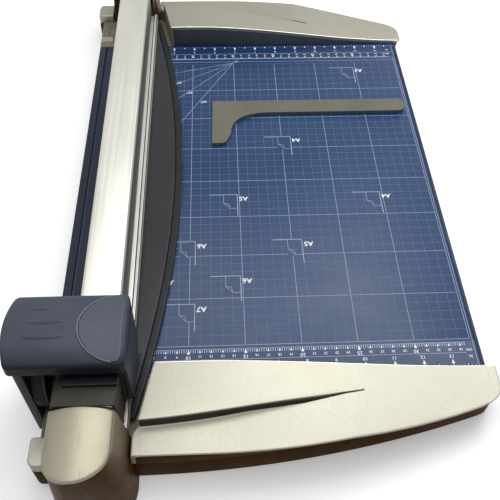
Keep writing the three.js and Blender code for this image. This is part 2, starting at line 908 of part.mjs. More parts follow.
// The smoked guard, which falls a little toward its rim, and the rim.
function makeGuard(group) {
  const root = clampRight + seat;
  const sheetEdge = (y) => guardEdge(y) - rimWidth - seat;
  const reach = guardRadius - (guardReach - rimWidth - 2 * seat - guardLeast);
  const sheetHalf = Math.sqrt(guardRadius ** 2 - reach ** 2);
  const swap = (p) => point(p.y, p.x);
  const outer = along(-sheetHalf, sheetHalf, sweepSteps, sheetEdge).map(swap);
  const sheet = standing([point(root, -sheetHalf), ...outer, point(root, sheetHalf)], 0, guardThickness);
  const places = sheet.getAttribute("position");
  for (let i = 0; i < places.count; i++) {
    const share = (places.getX(i) - root) / guardReach;
    places.setZ(i, places.getZ(i) + guardHigh - guardThickness - guardFall * share);
  }
  piece(group, "guard_sheet", sheet, smoked);
  const half = Math.min(guardHalfLength, clampHalf);
  const rimOuter = along(-half, half, 2 * sweepSteps, guardEdge).map(swap);
  const innerEdge = (y) => Math.max(guardEdge(y) - rimWidth, root);
  const rimInner = along(half, -half, 2 * sweepSteps, innerEdge).map(swap);
  piece(group, "guard_rim", standing([...rimOuter, ...rimInner], rimBottom, rimTop), nearBlack);
}

// The housing's section across Y: leaning faces and a barrel-curved top.
function housingSection(wall, bottom, lift = 0) {
  const half = housingHalf - wall;
  const top = (y) => housingCrown + lift - wall - housingDrop * (y / housingHalf) ** 2;
  const low = half + housingFlare;
  return [point(-low, bottom), point(low, bottom), ...along(half, -half, sweepSteps, top)];
}

// The housing's plan: a convex left end and rounded right corners.
function housingPlan(wall) {
  const half = housingHalf + housingFlare - wall;
  const left = (y) => housingLeft + wall + housingBulge * (y / housingHalf) ** 2;
  const bulge = along(half, -half, sweepSteps, left).map((p) => point(p.y, p.x));
  const right = housingRight - wall;
  return [...bulge, point(right - housingCorner, -half), point(right, housingCorner - half),
    point(right, half - housingCorner), point(right - housingCorner, half)];
}

function makeHousing(group) {
  const section = housingSection(0, housingBottom);
  const outer = solid(crosswise(section, housingLeft - overrun, housingRight + overrun));
  const shell = outer.intersect(solid(standing(housingPlan(0), 0, above + housingCrown)));
  const bore = housingSection(housingWall, housingBottom - overrun);
  const inner = solid(crosswise(bore, housingLeft, housingRight - sideWallThickness));
  const hollow = inner.intersect(solid(standing(housingPlan(housingWall), 0, above + housingCrown)));
  const wallHalf = housingHalf + housingFlare;
  const sideWall = rounded([
    [housingCorner - wallHalf, sideWallBottom, housingCorner],
    [wallHalf - housingCorner, sideWallBottom, housingCorner],
    [wallHalf - housingCorner, housingBottom + housingWall],
    [housingCorner - wallHalf, housingBottom + housingWall],
  ]);
  const wall = solid(crosswise(sideWall, housingRight - sideWallThickness, housingRight));
  let housing = shell.subtract(hollow).add(wall);
  for (const y of [-springSpread, springSpread]) {
    const boss = solid(post(railMiddle, y, bossRadius, bossBottom, housingCrown));
    housing = housing.add(boss.intersect(shell));
  }
  piece(group, "head_housing", housing, headBlue);
}

// The D-shaped panel on the housing's right, set on its curved top.
function makePanel(group) {
  const depth = panelRight - panelLeft;
  const left = (y) => panelRight - depth * Math.sqrt(Math.max(1 - (y / panelHalf) ** 2, 0));
  const curve = along(panelHalf, -panelHalf, 2 * sweepSteps, left).map((p) => point(p.y, p.x));
  const plan = [
    ...curve.slice(1, -1),
    point(panelRight - panelCorner, -panelHalf),
    point(panelRight, panelCorner - panelHalf),
    point(panelRight, panelHalf - panelCorner),
    point(panelRight - panelCorner, panelHalf),
  ];
  const upper = solid(crosswise(housingSection(0, housingBottom, seat + panelThickness), 0, housingRight));
  const lower = crosswise(housingSection(0, 0, seat), -overrun, housingRight + overrun);
  const prism = solid(standing(plan, housingBottom, above + housingCrown));
  piece(group, "head_panel", cut(prism.intersect(upper), lower), headDark);
}

// The blade cartridge: a skirt beside the board, a round nose, the neck above it and the blade's hub.
function makeCartridge(group) {
  const hubRight = -bladeThickness / 2 - bladeGap;
  const shoulder = housingBottom - skirtBelowHousing;
  const skirt = rounded([
    [-skirtHalf, skirtBottom, skirtCorner],
    [skirtHalf, skirtBottom, skirtCorner],
    [skirtHalf, shoulder],
    [cartridgeHalf, shoulder],
    [cartridgeHalf, cartridgeTop],
    [-cartridgeHalf, cartridgeTop],
    [-cartridgeHalf, shoulder],
    [-skirtHalf, shoulder],
  ]);
  const neck = rectangle(-neckHalf, neckHalf, bladeCentre, cartridgeTop);
  const disc = solid(crosswise(circle(0, bladeCentre, noseRadius, 2 * roundSteps), noseLeft, cartridgeRight));
  const clear = block(noseLeft - overrun, cartridgeRight + overrun, -above, above, noseAbove, above);
  const cartridge = joined(
    crosswise(skirt, cartridgeLeft, skirtRight),
    crosswise(neck, skirtRight - overrun, cartridgeRight),
    crosswise(circle(0, bladeCentre, hubRadius), cartridgeRight - overrun, hubRight),
  ).add(disc.intersect(solid(clear)));
  const bore = crosswise(
    circle(0, bladeCentre, axleRadius + seat),
    cartridgeRight - axleReach - seat,
    hubRight + overrun,
  );
  piece(group, "cartridge", cut(cartridge, bore), headBlue);
}

// The axle and cap nut that carry the blade.
function makeBladeMount(group) {
  const bore = circle(0, bladeCentre, axleRadius + seat);
  const capFrom = bladeThickness / 2 + bladeGap;
  const capTo = capFrom + capNutThickness;
  const axleEnd = capTo - capNutRoof - seat;
  const axle = crosswise(circle(0, bladeCentre, axleRadius), cartridgeRight - axleReach, axleEnd);
  piece(group, "blade_axle", axle, steel);
  const nut = solid(crosswise(circle(0, bladeCentre, capNutRadius), capFrom, capTo));
  piece(group, "blade_cap_nut", cut(nut, crosswise(bore, capFrom - overrun, capTo - capNutRoof)), darkGrey);
}

function makeBlade(group) {
  const half = bladeThickness / 2;
  const rim = circle(0, bladeCentre, bladeRadius, 2 * roundSteps);
  const bore = circle(0, bladeCentre, axleRadius + seat);
  piece(group, "blade", crosswise(rim, -half, half, [bore]), steel);
}

// The carriage that wraps the rail, its nylon glides and the springs under the housing.
function makeCarriage(group) {
  const hookBottom = hookTop - hookThickness;
  const roof = carriageTop - carriageRoof;
  const innerLeft = carriageLeft + carriageWall;
  const innerRight = railRight + 2 * seat + glideThickness;
  const section = [
    point(carriageLeft, hookBottom),
    point(carriageLeft + hookReach, hookBottom),
    point(carriageLeft + hookReach, hookTop),
    point(innerLeft, hookTop),
    point(innerLeft, roof),
    point(innerRight, roof),
    point(innerRight, hookTop),
    point(carriageRight - hookReach, hookTop),
    point(carriageRight - hookReach, hookBottom),
    point(carriageRight, hookBottom),
    point(carriageRight, carriageTop),
    point(carriageLeft, carriageTop),
  ];
  const frame = solid(lengthwise(section, -carriageHalf, carriageHalf));
  const spigots = [-springSpread, springSpread].map((y) =>
    solid(post(railMiddle, y, spigotRadius, carriageTop - carriageRoof / 2, carriageTop + spigotHeight)),
  );
  piece(group, "carriage", spigots.reduce((sum, next) => sum.add(next), frame), darkGrey);
  makeGlides(group, innerLeft, innerRight, roof);
  ["near", "far"].forEach((side, i) => {
    const y = springSpread * (2 * i - 1);
    const bore = circle(railMiddle, y, pressSpringRadius - pressSpringWall);
    const top = bossBottom - headTravel - seat;
    const spring = post(railMiddle, y, pressSpringRadius, carriageTop + seat, top, [bore]);
    piece(group, `press_spring_${side}`, spring, steel);
  });
}

function makeGlides(group, innerLeft, innerRight, roof) {
  const half = carriageHalf - glideInset;
  const low = railBottom + glideInset;
  const high = railTop - railCrown - railCorner;
  const glides = {
    top: [railLeft, railRight, railTop + seat, roof - seat],
    left: [innerLeft + seat, railLeft - seat, low, high],
    right: [railRight + seat, innerRight - seat, low, high],
    lower_left: [railLeft + seat, railLeft + lowerGlideWidth, hookTop + seat, railBottom - seat],
    lower_right: [railRight - lowerGlideWidth, railRight - seat, hookTop + seat, railBottom - seat],
  };
  for (const [name, [x0, x1, z0, z1]] of Object.entries(glides)) {
    piece(group, `glide_${name}`, block(x0, x1, -half, half, z0, z1), nylon);
  }
}

// The whole cutter head, placed along the rail.
function makeHead(group) {
  const head = new THREE.Group();
  head.position.y = headAt;
  makeHousing(head);
  makePanel(head);
  makeCartridge(head);
  makeBladeMount(head);
  makeBlade(head);
  makeCarriage(head);
  group.add(head);
}

// The loose guide: a long arm, a foot and a hollow fillet between them, with two magnets below.
function makeGuide(group) {
  const right = guideLeft + guideLength;
  const armNear = guideFar - guideArm;
  const footNear = guideFar - guideFoot;
  const footRight = guideLeft + guideFootWidth;
  const filletFrom = point(footRight + guideFootFlare, armNear - guideFilletFall);
  const filletTo = point(filletFrom.x + guideFilletRun, armNear);
  const hollow = new THREE.QuadraticBezierCurve(filletFrom, point(filletFrom.x, armNear), filletTo);
  const foot = rounded([
    [guideLeft, footNear],
    [footRight, footNear, guideCorner],
    [filletFrom.x, filletFrom.y],
  ]).slice(0, -1);
  const arm = rounded([
    [filletTo.x, armNear],
    [right, armNear, guideEndRadius],
    [right, guideFar, guideCorner],
    [guideLeft, guideFar],
  ]).slice(1);
  const outline = [...foot, ...hollow.getPoints(sweepSteps / 2), ...arm];
  const top = seat + guideThickness;
  const middle = guideFar - guideArm / 2;
  const places = [guideLeft + magnetFromEnd, right - magnetFromEnd];
  const pockets = places.map((x) => post(x, middle, magnetRadius + seat, 0, 3 * seat + magnetThickness));
  piece(group, "paper_guide", cut(solid(standing(outline, seat, top)), ...pockets), guideGrey);
  places.forEach((x, i) => {
    const magnet = post(x, middle, magnetRadius, 2 * seat, 2 * seat + magnetThickness);
    piece(group, `guide_magnet_${i + 1}`, magnet, steel);
  });
}

const trimmer = new THREE.Group();
makeBoard(trimmer);
makeStiffeners(trimmer);
const farEnd = new THREE.Group();
makeEnd(farEnd, "far");
trimmer.add(farEnd);
const nearEnd = new THREE.Group();
nearEnd.scale.y = -1;
makeEnd(nearEnd, "near");
trimmer.add(nearEnd);
makeRail(trimmer);
makeClampBar(trimmer);
makeGuard(trimmer);
makeHead(trimmer);
makeGuide(trimmer);
trimmer.position.set(-(housingLeft + capRight) / 2, 0, matAboveTable);

export default trimmer;
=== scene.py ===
import math
from contextlib import contextmanager

import bmesh
import bpy
from mathutils import Matrix, Vector


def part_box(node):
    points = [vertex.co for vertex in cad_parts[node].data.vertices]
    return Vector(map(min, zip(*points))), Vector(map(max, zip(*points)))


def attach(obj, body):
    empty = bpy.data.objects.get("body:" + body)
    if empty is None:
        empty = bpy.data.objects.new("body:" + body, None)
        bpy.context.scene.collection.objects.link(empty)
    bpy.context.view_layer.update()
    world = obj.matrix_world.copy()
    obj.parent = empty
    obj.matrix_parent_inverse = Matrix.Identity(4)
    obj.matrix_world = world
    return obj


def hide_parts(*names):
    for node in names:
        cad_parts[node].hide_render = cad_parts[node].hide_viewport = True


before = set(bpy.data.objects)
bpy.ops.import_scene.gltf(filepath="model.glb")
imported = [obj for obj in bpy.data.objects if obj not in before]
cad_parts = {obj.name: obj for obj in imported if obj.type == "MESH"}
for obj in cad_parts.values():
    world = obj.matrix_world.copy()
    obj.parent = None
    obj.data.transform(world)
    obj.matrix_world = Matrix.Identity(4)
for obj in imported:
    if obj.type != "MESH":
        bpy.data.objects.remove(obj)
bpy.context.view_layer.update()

# Places are given in millimetres, as on the trimmer itself: X from the cut line, Y from the
# middle of the mat, Z from the mat's upper face. Metres come only at the end, in at().
mm = 0.001
cut_x = (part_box("blade")[0].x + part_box("blade")[1].x) / 2
mat_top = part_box("cutting_mat")[1].z
head_y = (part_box("blade")[0].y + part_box("blade")[1].y) / 2 / mm


def at(x, y, z):
    return Vector((cut_x + x * mm, y * mm, mat_top + z * mm))


# Main sizes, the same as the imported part's.
stop = 234.8
mat_left, mat_half = 7.3, 234.5
rail_x = 31.2
# The print reaches from just inside the mat to just above it.
print_low = -0.02


def held(name, data):
    """A new object of the scene that holds some data."""
    thing = bpy.data.objects.new(name, data)
    bpy.context.scene.collection.objects.link(thing)
    return thing


# Camera
sensor_width, lens_length = 36.0, 50.08
camera_place = Vector((-0.03115, -0.5203, 0.5625))
camera_forward = Vector((0.0364, 0.6202, -0.7836)).normalized()
camera_right = Vector((0.9991, -0.0410, 0.0140))
nearest_seen, farthest_seen = 0.02, 20.0


def make_camera():
    data = bpy.data.cameras.new("photo_view")
    data.sensor_width, data.lens = sensor_width, lens_length
    data.clip_start, data.clip_end = nearest_seen, farthest_seen
    camera = held("photo_view", data)
    right = (camera_right - camera_forward * camera_right.dot(camera_forward)).normalized()
    up = right.cross(camera_forward)
    turn = Matrix((right, up, -camera_forward)).transposed().to_4x4()
    camera.matrix_world = Matrix.Translation(camera_place) @ turn
    bpy.context.scene.camera = camera


make_camera()


# Finishes
def colour(red, green, blue, alpha=1.0):
    """A colour as a screen shows it, in the shader's own scale."""
    def linear(value):
        value /= 255
        return value / 12.92 if value <= 0.04045 else ((value + 0.055) / 1.055) ** 2.4
    return (linear(red), linear(green), linear(blue), alpha)


class Nodes:
    """A node tree that is being built."""

    def __init__(self, tree):
        self.tree = tree

    def add(self, kind, **values):
        """A node. A value feeds or sets the input of its name, or else sets the node itself."""
        node = self.tree.nodes.new(kind)
        for label, value in values.items():
            socket = node.inputs.get(label.replace("_", " "))
            if socket is None:
                setattr(node, label, value)
            elif isinstance(value, bpy.types.NodeSocket):
                self.tree.links.new(value, socket)
            else:
                socket.default_value = value
        return node

    def reckon(self, operation, *values, kind="ShaderNodeMath", **settings):
        """A sum, a product or another reckoning of outputs."""
        node = self.add(kind, operation=operation, **settings)
        for index, value in enumerate(values):
            self.tree.links.new(value, node.inputs[index])
        return node.outputs["Value"]

    def seen_rays(self):
        """1 for rays of the camera, of mirrors and of see-through plastic, otherwise 0."""
        path = self.add("ShaderNodeLightPath").outputs
        total = path["Is Camera Ray"]
        for label in ("Is Glossy Ray", "Is Transmission Ray"):
            total = self.reckon("ADD", total, path[label], use_clamp=True)
        return total


class Finish(Nodes):
    """A material and the nodes that it is built from."""

    def __init__(self, name, roughness, metallic=0.0, **sockets):
        self.material = bpy.data.materials.new(name)
        self.material.use_nodes = True
        super().__init__(self.material.node_tree)
        self.shader = self.tree.nodes["Principled BSDF"]
        for label, value in {"Roughness": roughness, "Metallic": metallic, **sockets}.items():
            self.shader.inputs[label.replace("_", " ")].default_value = value
        self.places = self.add("ShaderNodeTexCoord").outputs["Object"]
        self.base = None

    def feed(self, label, output):
        self.tree.links.new(output, self.shader.inputs[label])

    def noise(self, size, detail=2.0, stretch=(1, 1, 1), offset=0.0):
        """Noise whose grains are about a size in millimetres; stretch lengthens them."""
        shares, start = [1 / s for s in stretch], (offset, offset, offset)
        place = self.add("ShaderNodeMapping", Vector=self.places, Scale=shares, Location=start)
        scale = 1 / (size * mm)
        texture = self.add("ShaderNodeTexNoise", Vector=place.outputs["Vector"], Scale=scale, Detail=detail)
        return texture.outputs["Fac"]

    def cells(self, size):
        """Small cells whose width is about a size in millimetres."""
        texture = self.add("ShaderNodeTexVoronoi", Vector=self.places, Scale=1 / (size * mm))
        return texture.outputs["Distance"]

    def place(self, axis):
        return self.add("ShaderNodeSeparateXYZ", Vector=self.places).outputs[axis]

    def spread(self, factor, low, high, start=0.3, end=0.7):
        """A factor's range from start to end turned into numbers from low to high."""
        ends = {"From_Min": start, "From_Max": end, "To_Min": low, "To_Max": high}
        return self.add("ShaderNodeMapRange", Value=factor, **ends).outputs["Result"]

    def veil(self, size, detail, low, high, start=0.3, end=0.7, stretch=(1, 1, 1), offset=0.0):
        """Noise of about a size in millimetres, spread from low to high."""
        return self.spread(self.noise(size, detail, stretch, offset), low, high, start, end)

    def mix(self, factor, first, second):
        """From a first colour to a second one as a factor goes from 0 to 1."""
        node = self.add("ShaderNodeMix", data_type="RGBA", Factor=factor)
        for socket, value in zip(node.inputs[6:8], (first, second)):
            if isinstance(value, tuple):
                socket.default_value = value
            else:
                self.tree.links.new(value, socket)
        return node.outputs[2]

    def edges(self, radius):
        """Bright where an edge or a corner is, for wear."""
        bevel = self.add("ShaderNodeBevel", samples=4, Radius=radius * mm)
        shape = self.add("ShaderNodeNewGeometry")
        normals = (bevel.outputs["Normal"], shape.outputs["Normal"])
        flat = self.reckon("DOT_PRODUCT", *normals, kind="ShaderNodeVectorMath")
        return self.spread(flat, 1, 0, 0.86, 0.995)

    def worn(self, radius, amount):
        """Edges rubbed by use, at most by an amount."""
        return self.spread(self.edges(radius), 0, amount, 0, 1)

    def leaning(self, axis, low, high):
        """From 0 to 1 as a face leans from one share to another towards an axis."""
        shape = self.add("ShaderNodeNewGeometry")
        parts = self.add("ShaderNodeSeparateXYZ", Vector=shape.outputs["Normal"])
        return self.spread(parts.outputs[axis], 0, 1, low, high)

    def ground(self, drift, dark, light):
        """The first colour, drifting between two shades."""
        self.base = self.mix(drift, colour(*dark), colour(*light))

    def over(self, factor, *shade):
        """A shade laid over the colour so far, as strong as a factor."""
        self.base = self.mix(factor, self.base, colour(*shade))

    def done(self, relief, depth, gloss=None):
        """The material, with its colour, a relief as deep as a size in millimetres, and gloss."""
        self.feed("Base Color", self.base)
        if gloss is not None:
            self.feed("Roughness", gloss)
        bump = self.add("ShaderNodeBump", Height=relief, Distance=depth * mm, Strength=1.0)
        self.feed("Normal", bump.outputs["Normal"])
        return self.material


# Painted shade on the head's near side: where it is full and where it ends, from the head's middle.
painted_shade_full, painted_shade_end = 33, 15


def moulded(name, dark, light, roughness, grain=0.5, relief=0.03, wear=None, shine=0.22, near=None):
    """Moulded plastic: slow colour drift, a fine spark-eroded grain and paler edges.

    A near colour is painted shade: it darkens the head's near side, which the light does not reach."""
    finish = Finish(name, roughness, Specular_IOR_Level=shine)
    finish.ground(finish.veil(45, 3, 0, 1), dark, light)
    # painted shade: the near colour is laid over the head's near side by place along Y
    if near:
        start, end = (head_y - painted_shade_full) * mm, (head_y - painted_shade_end) * mm
        finish.over(finish.spread(finish.place("Y"), 1, 0, start, end), *near)
    if wear:
        finish.over(finish.reckon("MULTIPLY", finish.edges(1.2), finish.veil(6, 4, 0.25, 0.9)), *wear)
    gloss = finish.veil(12, 3, roughness - 0.06, roughness + 0.08, offset=3.1)
    return finish.done(finish.noise(grain, 2), relief, gloss)


def silver_paint(name, dark, light, marks):
    """Silver-painted plastic: fine flakes, faint cloudiness, hairline scratches and specks."""
    finish = Finish(name, 0.44, 0.8)
    finish.ground(finish.veil(70, 2, 0, 1), dark, light)
    finish.over(finish.veil(1.1, 3, 0, 0.3, 0.35, 0.65, offset=1.5), 128, 125, 113)
    finish.over(finish.spread(finish.cells(0.35), 0, 0.22, 0.1, 0.6), 132, 129, 117)
    finish.over(finish.veil(1.6, 2, 0, marks, 0.70, 0.74, (1, 22, 1), 5.0), 84, 80, 70)
    finish.over(finish.veil(1.3, 1, 0, 0.7, 0.765, 0.79, offset=9.0), 60, 55, 44)
    finish.over(finish.worn(1.0, 0.45), 214, 212, 200)
    return finish.done(finish.noise(0.4, 2), 0.015, finish.veil(30, 2, 0.45, 0.47, offset=2.0))


# Painted brown bounce light and shade: the tower's grey fades into it between these heights and these
# distances from the middle.
grey_low, grey_high, grey_inner, grey_outer = 6, 58, 318, 336


def tower_paint():
    """Satin grey plastic of the tower, with painted brown bounce light and shade towards its foot and its
    outer end.
    """
    finish = Finish("tower_plastic", 0.5, Specular_IOR_Level=0.06)
    height = finish.spread(finish.place("Z"), 0, 1, mat_top + grey_low * mm, mat_top + grey_high * mm)
    outward_place = finish.reckon("ABSOLUTE", finish.place("Y"))
    depth = finish.spread(outward_place, 1, 0, grey_inner * mm, grey_outer * mm)
    drift = finish.veil(40, 3, 0, 1)
    # low is the painted brown of bounce light and shade, high is the plastic's own grey
    low = finish.mix(drift, colour(80, 52, 16), colour(94, 64, 26))
    high = finish.mix(drift, colour(142, 134, 118), colour(153, 145, 129))
    finish.base = finish.mix(finish.reckon("MULTIPLY", height, depth), low, high)
    finish.over(finish.worn(1.0, 0.4), 164, 156, 138)
    return finish.done(finish.noise(0.5, 2), 0.03, finish.veil(14, 3, 0.36, 0.5, offset=3.0))


def satin_aluminium():
    """Anodised extrusion: long drawn lines, soft patches, a few short marks and painted shade on its right
    side.
    """
    finish = Finish("satin_aluminium", 0.34, 0.9)
    drawn = finish.noise(0.5, 2, stretch=(1, 260, 1))
    finish.ground(finish.veil(28, 4, 0, 1, stretch=(1, 3, 1)), (192, 191, 182), (202, 201, 193))
    # painted shade: faces leaning towards +X, the rail's right side, are darkened
    finish.over(finish.leaning("X", 0.45, 0.95), 122, 121, 115)
    finish.over(finish.spread(drawn, 0, 0.28, 0.35, 0.75), 190, 189, 181)
    finish.over(finish.veil(1.8, 2, 0, 0.28, 0.73, 0.77, (1, 9, 1), 4.0), 140, 138, 130)
    return finish.done(drawn, 0.006, finish.veil(3, 2, 0.36, 0.5, stretch=(1, 60, 1), offset=1.0))


def clamp_silver():
    """The clamp bar's paler satin stripes, with a few rubbed marks along it."""
    finish = Finish("clamp_silver", 0.5, 0.35)
    finish.ground(finish.veil(18, 4, 0, 1, stretch=(1, 5, 1)), (214, 214, 206), (228, 228, 221))
    finish.over(finish.veil(1.5, 2, 0, 0.35, 0.69, 0.75, (1, 20, 1), 7.0), 150, 149, 140)
    relief = finish.noise(0.5, 2, stretch=(1, 80, 1))
    return finish.done(relief, 0.005, finish.veil(4, 2, 0.42, 0.56, stretch=(1, 40, 1)))


def mat_face_finish(name, dark, light):
    """The mat's satin sheet: an even colour with slow drift, a leather-fine grain and old cut lines."""
    finish = Finish(name, 0.38, Specular_IOR_Level=0.32)
    finish.ground(finish.veil(90, 3, 0, 1), dark, light)
    finish.over(finish.veil(2.2, 3, 0, 0.22, 0.68, 0.74, (14, 1, 1), 6.0), 120, 138, 170)
    return finish.done(finish.noise(0.35, 2), 0.02, finish.veil(35, 4, 0.33, 0.40))


def printed(name, shade, faint):
    """Ink on the mat, a little worn."""
    finish = Finish(name, 0.5)
    finish.ground(finish.veil(9, 4, 0, 0.35, 0.45, 0.75), shade, faint)
    return finish.done(finish.noise(0.3, 1), 0.01)


def smoked():
    """Smoked see-through plastic with a light haze of fine marks."""
    finish = Finish("smoked_plastic", 0.26, Alpha=0.62, Specular_IOR_Level=0.22)
    finish.ground(finish.veil(40, 4, 0, 1, stretch=(1, 3, 1)), (50, 52, 53), (62, 64, 64))
    finish.over(finish.veil(1.4, 3, 0, 0.2, 0.68, 0.74, (1, 16, 1), 2.0), 110, 112, 110)
    return finish.done(finish.noise(60, 2), 0.04, finish.veil(40, 1, 0.24, 0.3))


def brushed_steel(name, shade, dark, along=(1, 40, 1)):
    finish = Finish(name, 0.3, 1.0)
    drawn = finish.noise(0.3, 2, stretch=along)
    finish.ground(finish.spread(drawn, 0, 1), shade, dark)
    return finish.done(drawn, 0.004, finish.veil(5, 3, 0.22, 0.4))


def rubber():
    """Black rubber with dust on it."""
    finish = Finish("foot_rubber", 0.8, Specular_IOR_Level=0.3)
    finish.ground(finish.veil(4, 4, 0, 1, 0.4, 0.75), (26, 26, 27), (48, 47, 45))
    return finish.done(finish.noise(0.7, 2), 0.05)


def laminate():
    """Navy laminate on the board's fibre core."""
    finish = Finish("board_laminate", 0.5)
    finish.ground(finish.veil(50, 3, 0, 1), (38, 48, 76), (46, 58, 90))
    return finish.done(finish.noise(0.6, 3), 0.03)


silver = silver_paint("silver_paint", (156, 154, 141), (162, 160, 147), 0.2)
dome_silver = silver_paint("dome_silver", (142, 137, 118), (148, 143, 124), 0.5)
aluminium = satin_aluminium()
clamp_finish = clamp_silver()
# Bright metal for the painted highlight along the lids' edge over the stop.
bright_silver = brushed_steel("bright_silver", (240, 239, 232), (226, 225, 216), along=(30, 1, 1))
tower_grey = tower_paint()
# The end walls' dark brown is painted shade and brown bounce light; the wear colour is real wear.
taupe = moulded("taupe_plastic", (68, 40, 5), (84, 54, 14), 0.6, wear=(112, 82, 40), shine=0.05)
slate = moulded("slate_plastic", (74, 78, 86), (86, 90, 98), 0.55, wear=(120, 124, 130))
deck_grey = moulded("deck_grey", (118, 110, 96), (132, 124, 109), 0.5, wear=(158, 152, 138))
pad_grey = moulded("pad_grey", (166, 156, 146), (180, 171, 161), 0.45, wear=(196, 188, 178))
dark_plastic = moulded("dark_plastic", (42, 39, 31), (53, 50, 42), 0.48, wear=(96, 92, 82))
# Dark plastic laid as painted shade on the step and under the lid's rim.
step_dark = moulded("step_dark", (34, 33, 25), (46, 44, 35), 0.55)
black_plastic = moulded("black_plastic", (14, 15, 19), (22, 24, 29), 0.4, wear=(44, 46, 52))
# The near colour of the head plastic is painted shade on the head's near side.
head_plastic = moulded(
    "head_plastic", (61, 66, 79), (71, 76, 89), 0.48, 0.6, 0.05, (104, 109, 122), 0.18, near=(14, 17, 25),
)
panel_plastic = moulded("panel_plastic", (72, 76, 90), (82, 86, 100), 0.42, 0.6, 0.04, (128, 133, 146))
# Pale plastic of the beads: a painted highlight along the panel's crease and the nose's rim.
bead_plastic = moulded("bead_plastic", (104, 110, 126), (118, 124, 140), 0.4, 0.6, 0.02)
skirt_plastic = moulded("skirt_plastic", (36, 32, 36), (46, 42, 48), 0.46, 0.6, 0.04, (78, 80, 92), 0.18)
side_plastic = moulded("side_plastic", (46, 50, 54), (56, 60, 64), 0.46, 0.6, 0.04, (104, 106, 108))
guide_plastic = moulded("guide_plastic", (99, 98, 88), (109, 108, 98), 0.6, 0.45, 0.05, (134, 133, 123))
strip_plastic = moulded("strip_plastic", (25, 33, 48), (32, 41, 57), 0.42, 0.8, 0.02, (62, 74, 96), 0.18)
trim_plastic = moulded("trim_plastic", (24, 38, 62), (30, 46, 72), 0.42, 0.8, 0.02, (64, 80, 106))
nylon = moulded("nylon", (222, 219, 206), (234, 231, 220), 0.45)
steel = brushed_steel("bright_steel", (196, 198, 200), (170, 172, 175))
blade_steel = brushed_steel("blade_steel", (210, 212, 215), (182, 184, 188), along=(1, 1, 12))
foot_rubber = rubber()
board_finish = laminate()
mat_finish = mat_face_finish("mat_face", (18, 50, 90), (24, 57, 98))
band_finish = mat_face_finish("mat_band", (16, 45, 84), (21, 51, 91))
guard_finish = smoked()
grid_ink = printed("grid_ink", (90, 115, 152), (72, 97, 135))
major_ink = printed("major_ink", (158, 174, 200), (134, 152, 184))
white_ink = printed("white_ink", (240, 243, 247), (214, 221, 231))
line_ink = printed("line_ink", (178, 190, 210), (152, 166, 192))
tick_ink = printed("tick_ink", (180, 192, 214), (156, 170, 198))


# Making pieces
# Places nearer to each other than this many metres are welded.
cad_weld, weld, fine_weld, glyph_weld = 2e-6, 1e-6, 1e-7, 1e-8


def mesh_of(name, vertices, faces):
    mesh = bpy.data.meshes.new(name)
    mesh.from_pydata([tuple(v) for v in vertices], [], faces)
    mesh.update()
    return mesh


@contextmanager
def reshaped(mesh):
    """A mesh opened for editing and written back afterwards."""
    shape = bmesh.new()
    shape.from_mesh(mesh)
    yield shape
    shape.to_mesh(mesh)
    shape.free()


def put(name, mesh, body, finish=None, replaces=(), sharp=32):
    """A finished piece: its object at the origin, its place in its mesh."""
    piece = held(name, mesh)
    if finish is not None:
        mesh.materials.clear()
        mesh.materials.append(finish)
    if sharp:
        mesh.shade_smooth()
        mesh.set_sharp_from_angle(angle=math.radians(sharp))
    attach(piece, body)
    if replaces:
        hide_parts(*replaces)


def outward(mesh):
    """Turns every face of a closed mesh outward."""
    with reshaped(mesh) as shape:
        bmesh.ops.remove_doubles(shape, verts=shape.verts, dist=weld)
        bmesh.ops.recalc_face_normals(shape, faces=shape.faces)
    return mesh


def cleaned(mesh):
    """A closed mesh without doubled places or empty faces, turned outward."""
    with reshaped(mesh) as shape:
        bmesh.ops.remove_doubles(shape, verts=shape.verts, dist=fine_weld)
        bmesh.ops.dissolve_degenerate(shape, dist=fine_weld, edges=shape.edges)
        bmesh.ops.triangulate(shape, faces=[f for f in shape.faces if len(f.verts) > 4])
        bmesh.ops.recalc_face_normals(shape, faces=shape.faces)
    return mesh


def evaluated(holder):
    """The plain mesh of an object with its modifiers applied; the object is removed."""
    depsgraph = bpy.context.evaluated_depsgraph_get()
    depsgraph.update()
    mesh = bpy.data.meshes.new_from_object(holder.evaluated_get(depsgraph))
    bpy.data.objects.remove(holder)
    return mesh


def eased(mesh, width, steps=3, angle=30):
    """A mesh with its sharp edges rounded off."""
    holder = held("eased", mesh)
    mesh.shade_smooth()
    bevel = holder.modifiers.new("rounding", "BEVEL")
    bevel.width = width * mm
    bevel.segments = steps
    bevel.limit_method = "ANGLE"
    bevel.angle_limit = math.radians(angle)
    bevel.harden_normals = True
    bevel.miter_outer = "MITER_ARC"
    return evaluated(holder)


def refined(node, finish, width, steps=2, body="base"):
    """A CAD piece made again with rounded edges, in its own place."""
    mesh = bpy.data.meshes.new(node)
    with reshaped(mesh) as shape:
        shape.from_mesh(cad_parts[node].data)
        bmesh.ops.remove_doubles(shape, verts=shape.verts, dist=cad_weld)
        bmesh.ops.dissolve_limit(
            shape, angle_limit=math.radians(0.4), verts=shape.verts, edges=shape.edges
        )
    mesh.materials.clear()
    put(f"{node}_fine", eased(mesh, width, steps), body, finish, (node,), sharp=0)


def rectangle(left, right, low, high):
    return [(left, low), (right, low), (right, high), (left, high)]


def spaced(start, end, steps):
    return [start + (end - start) * i / steps for i in range(steps + 1)]


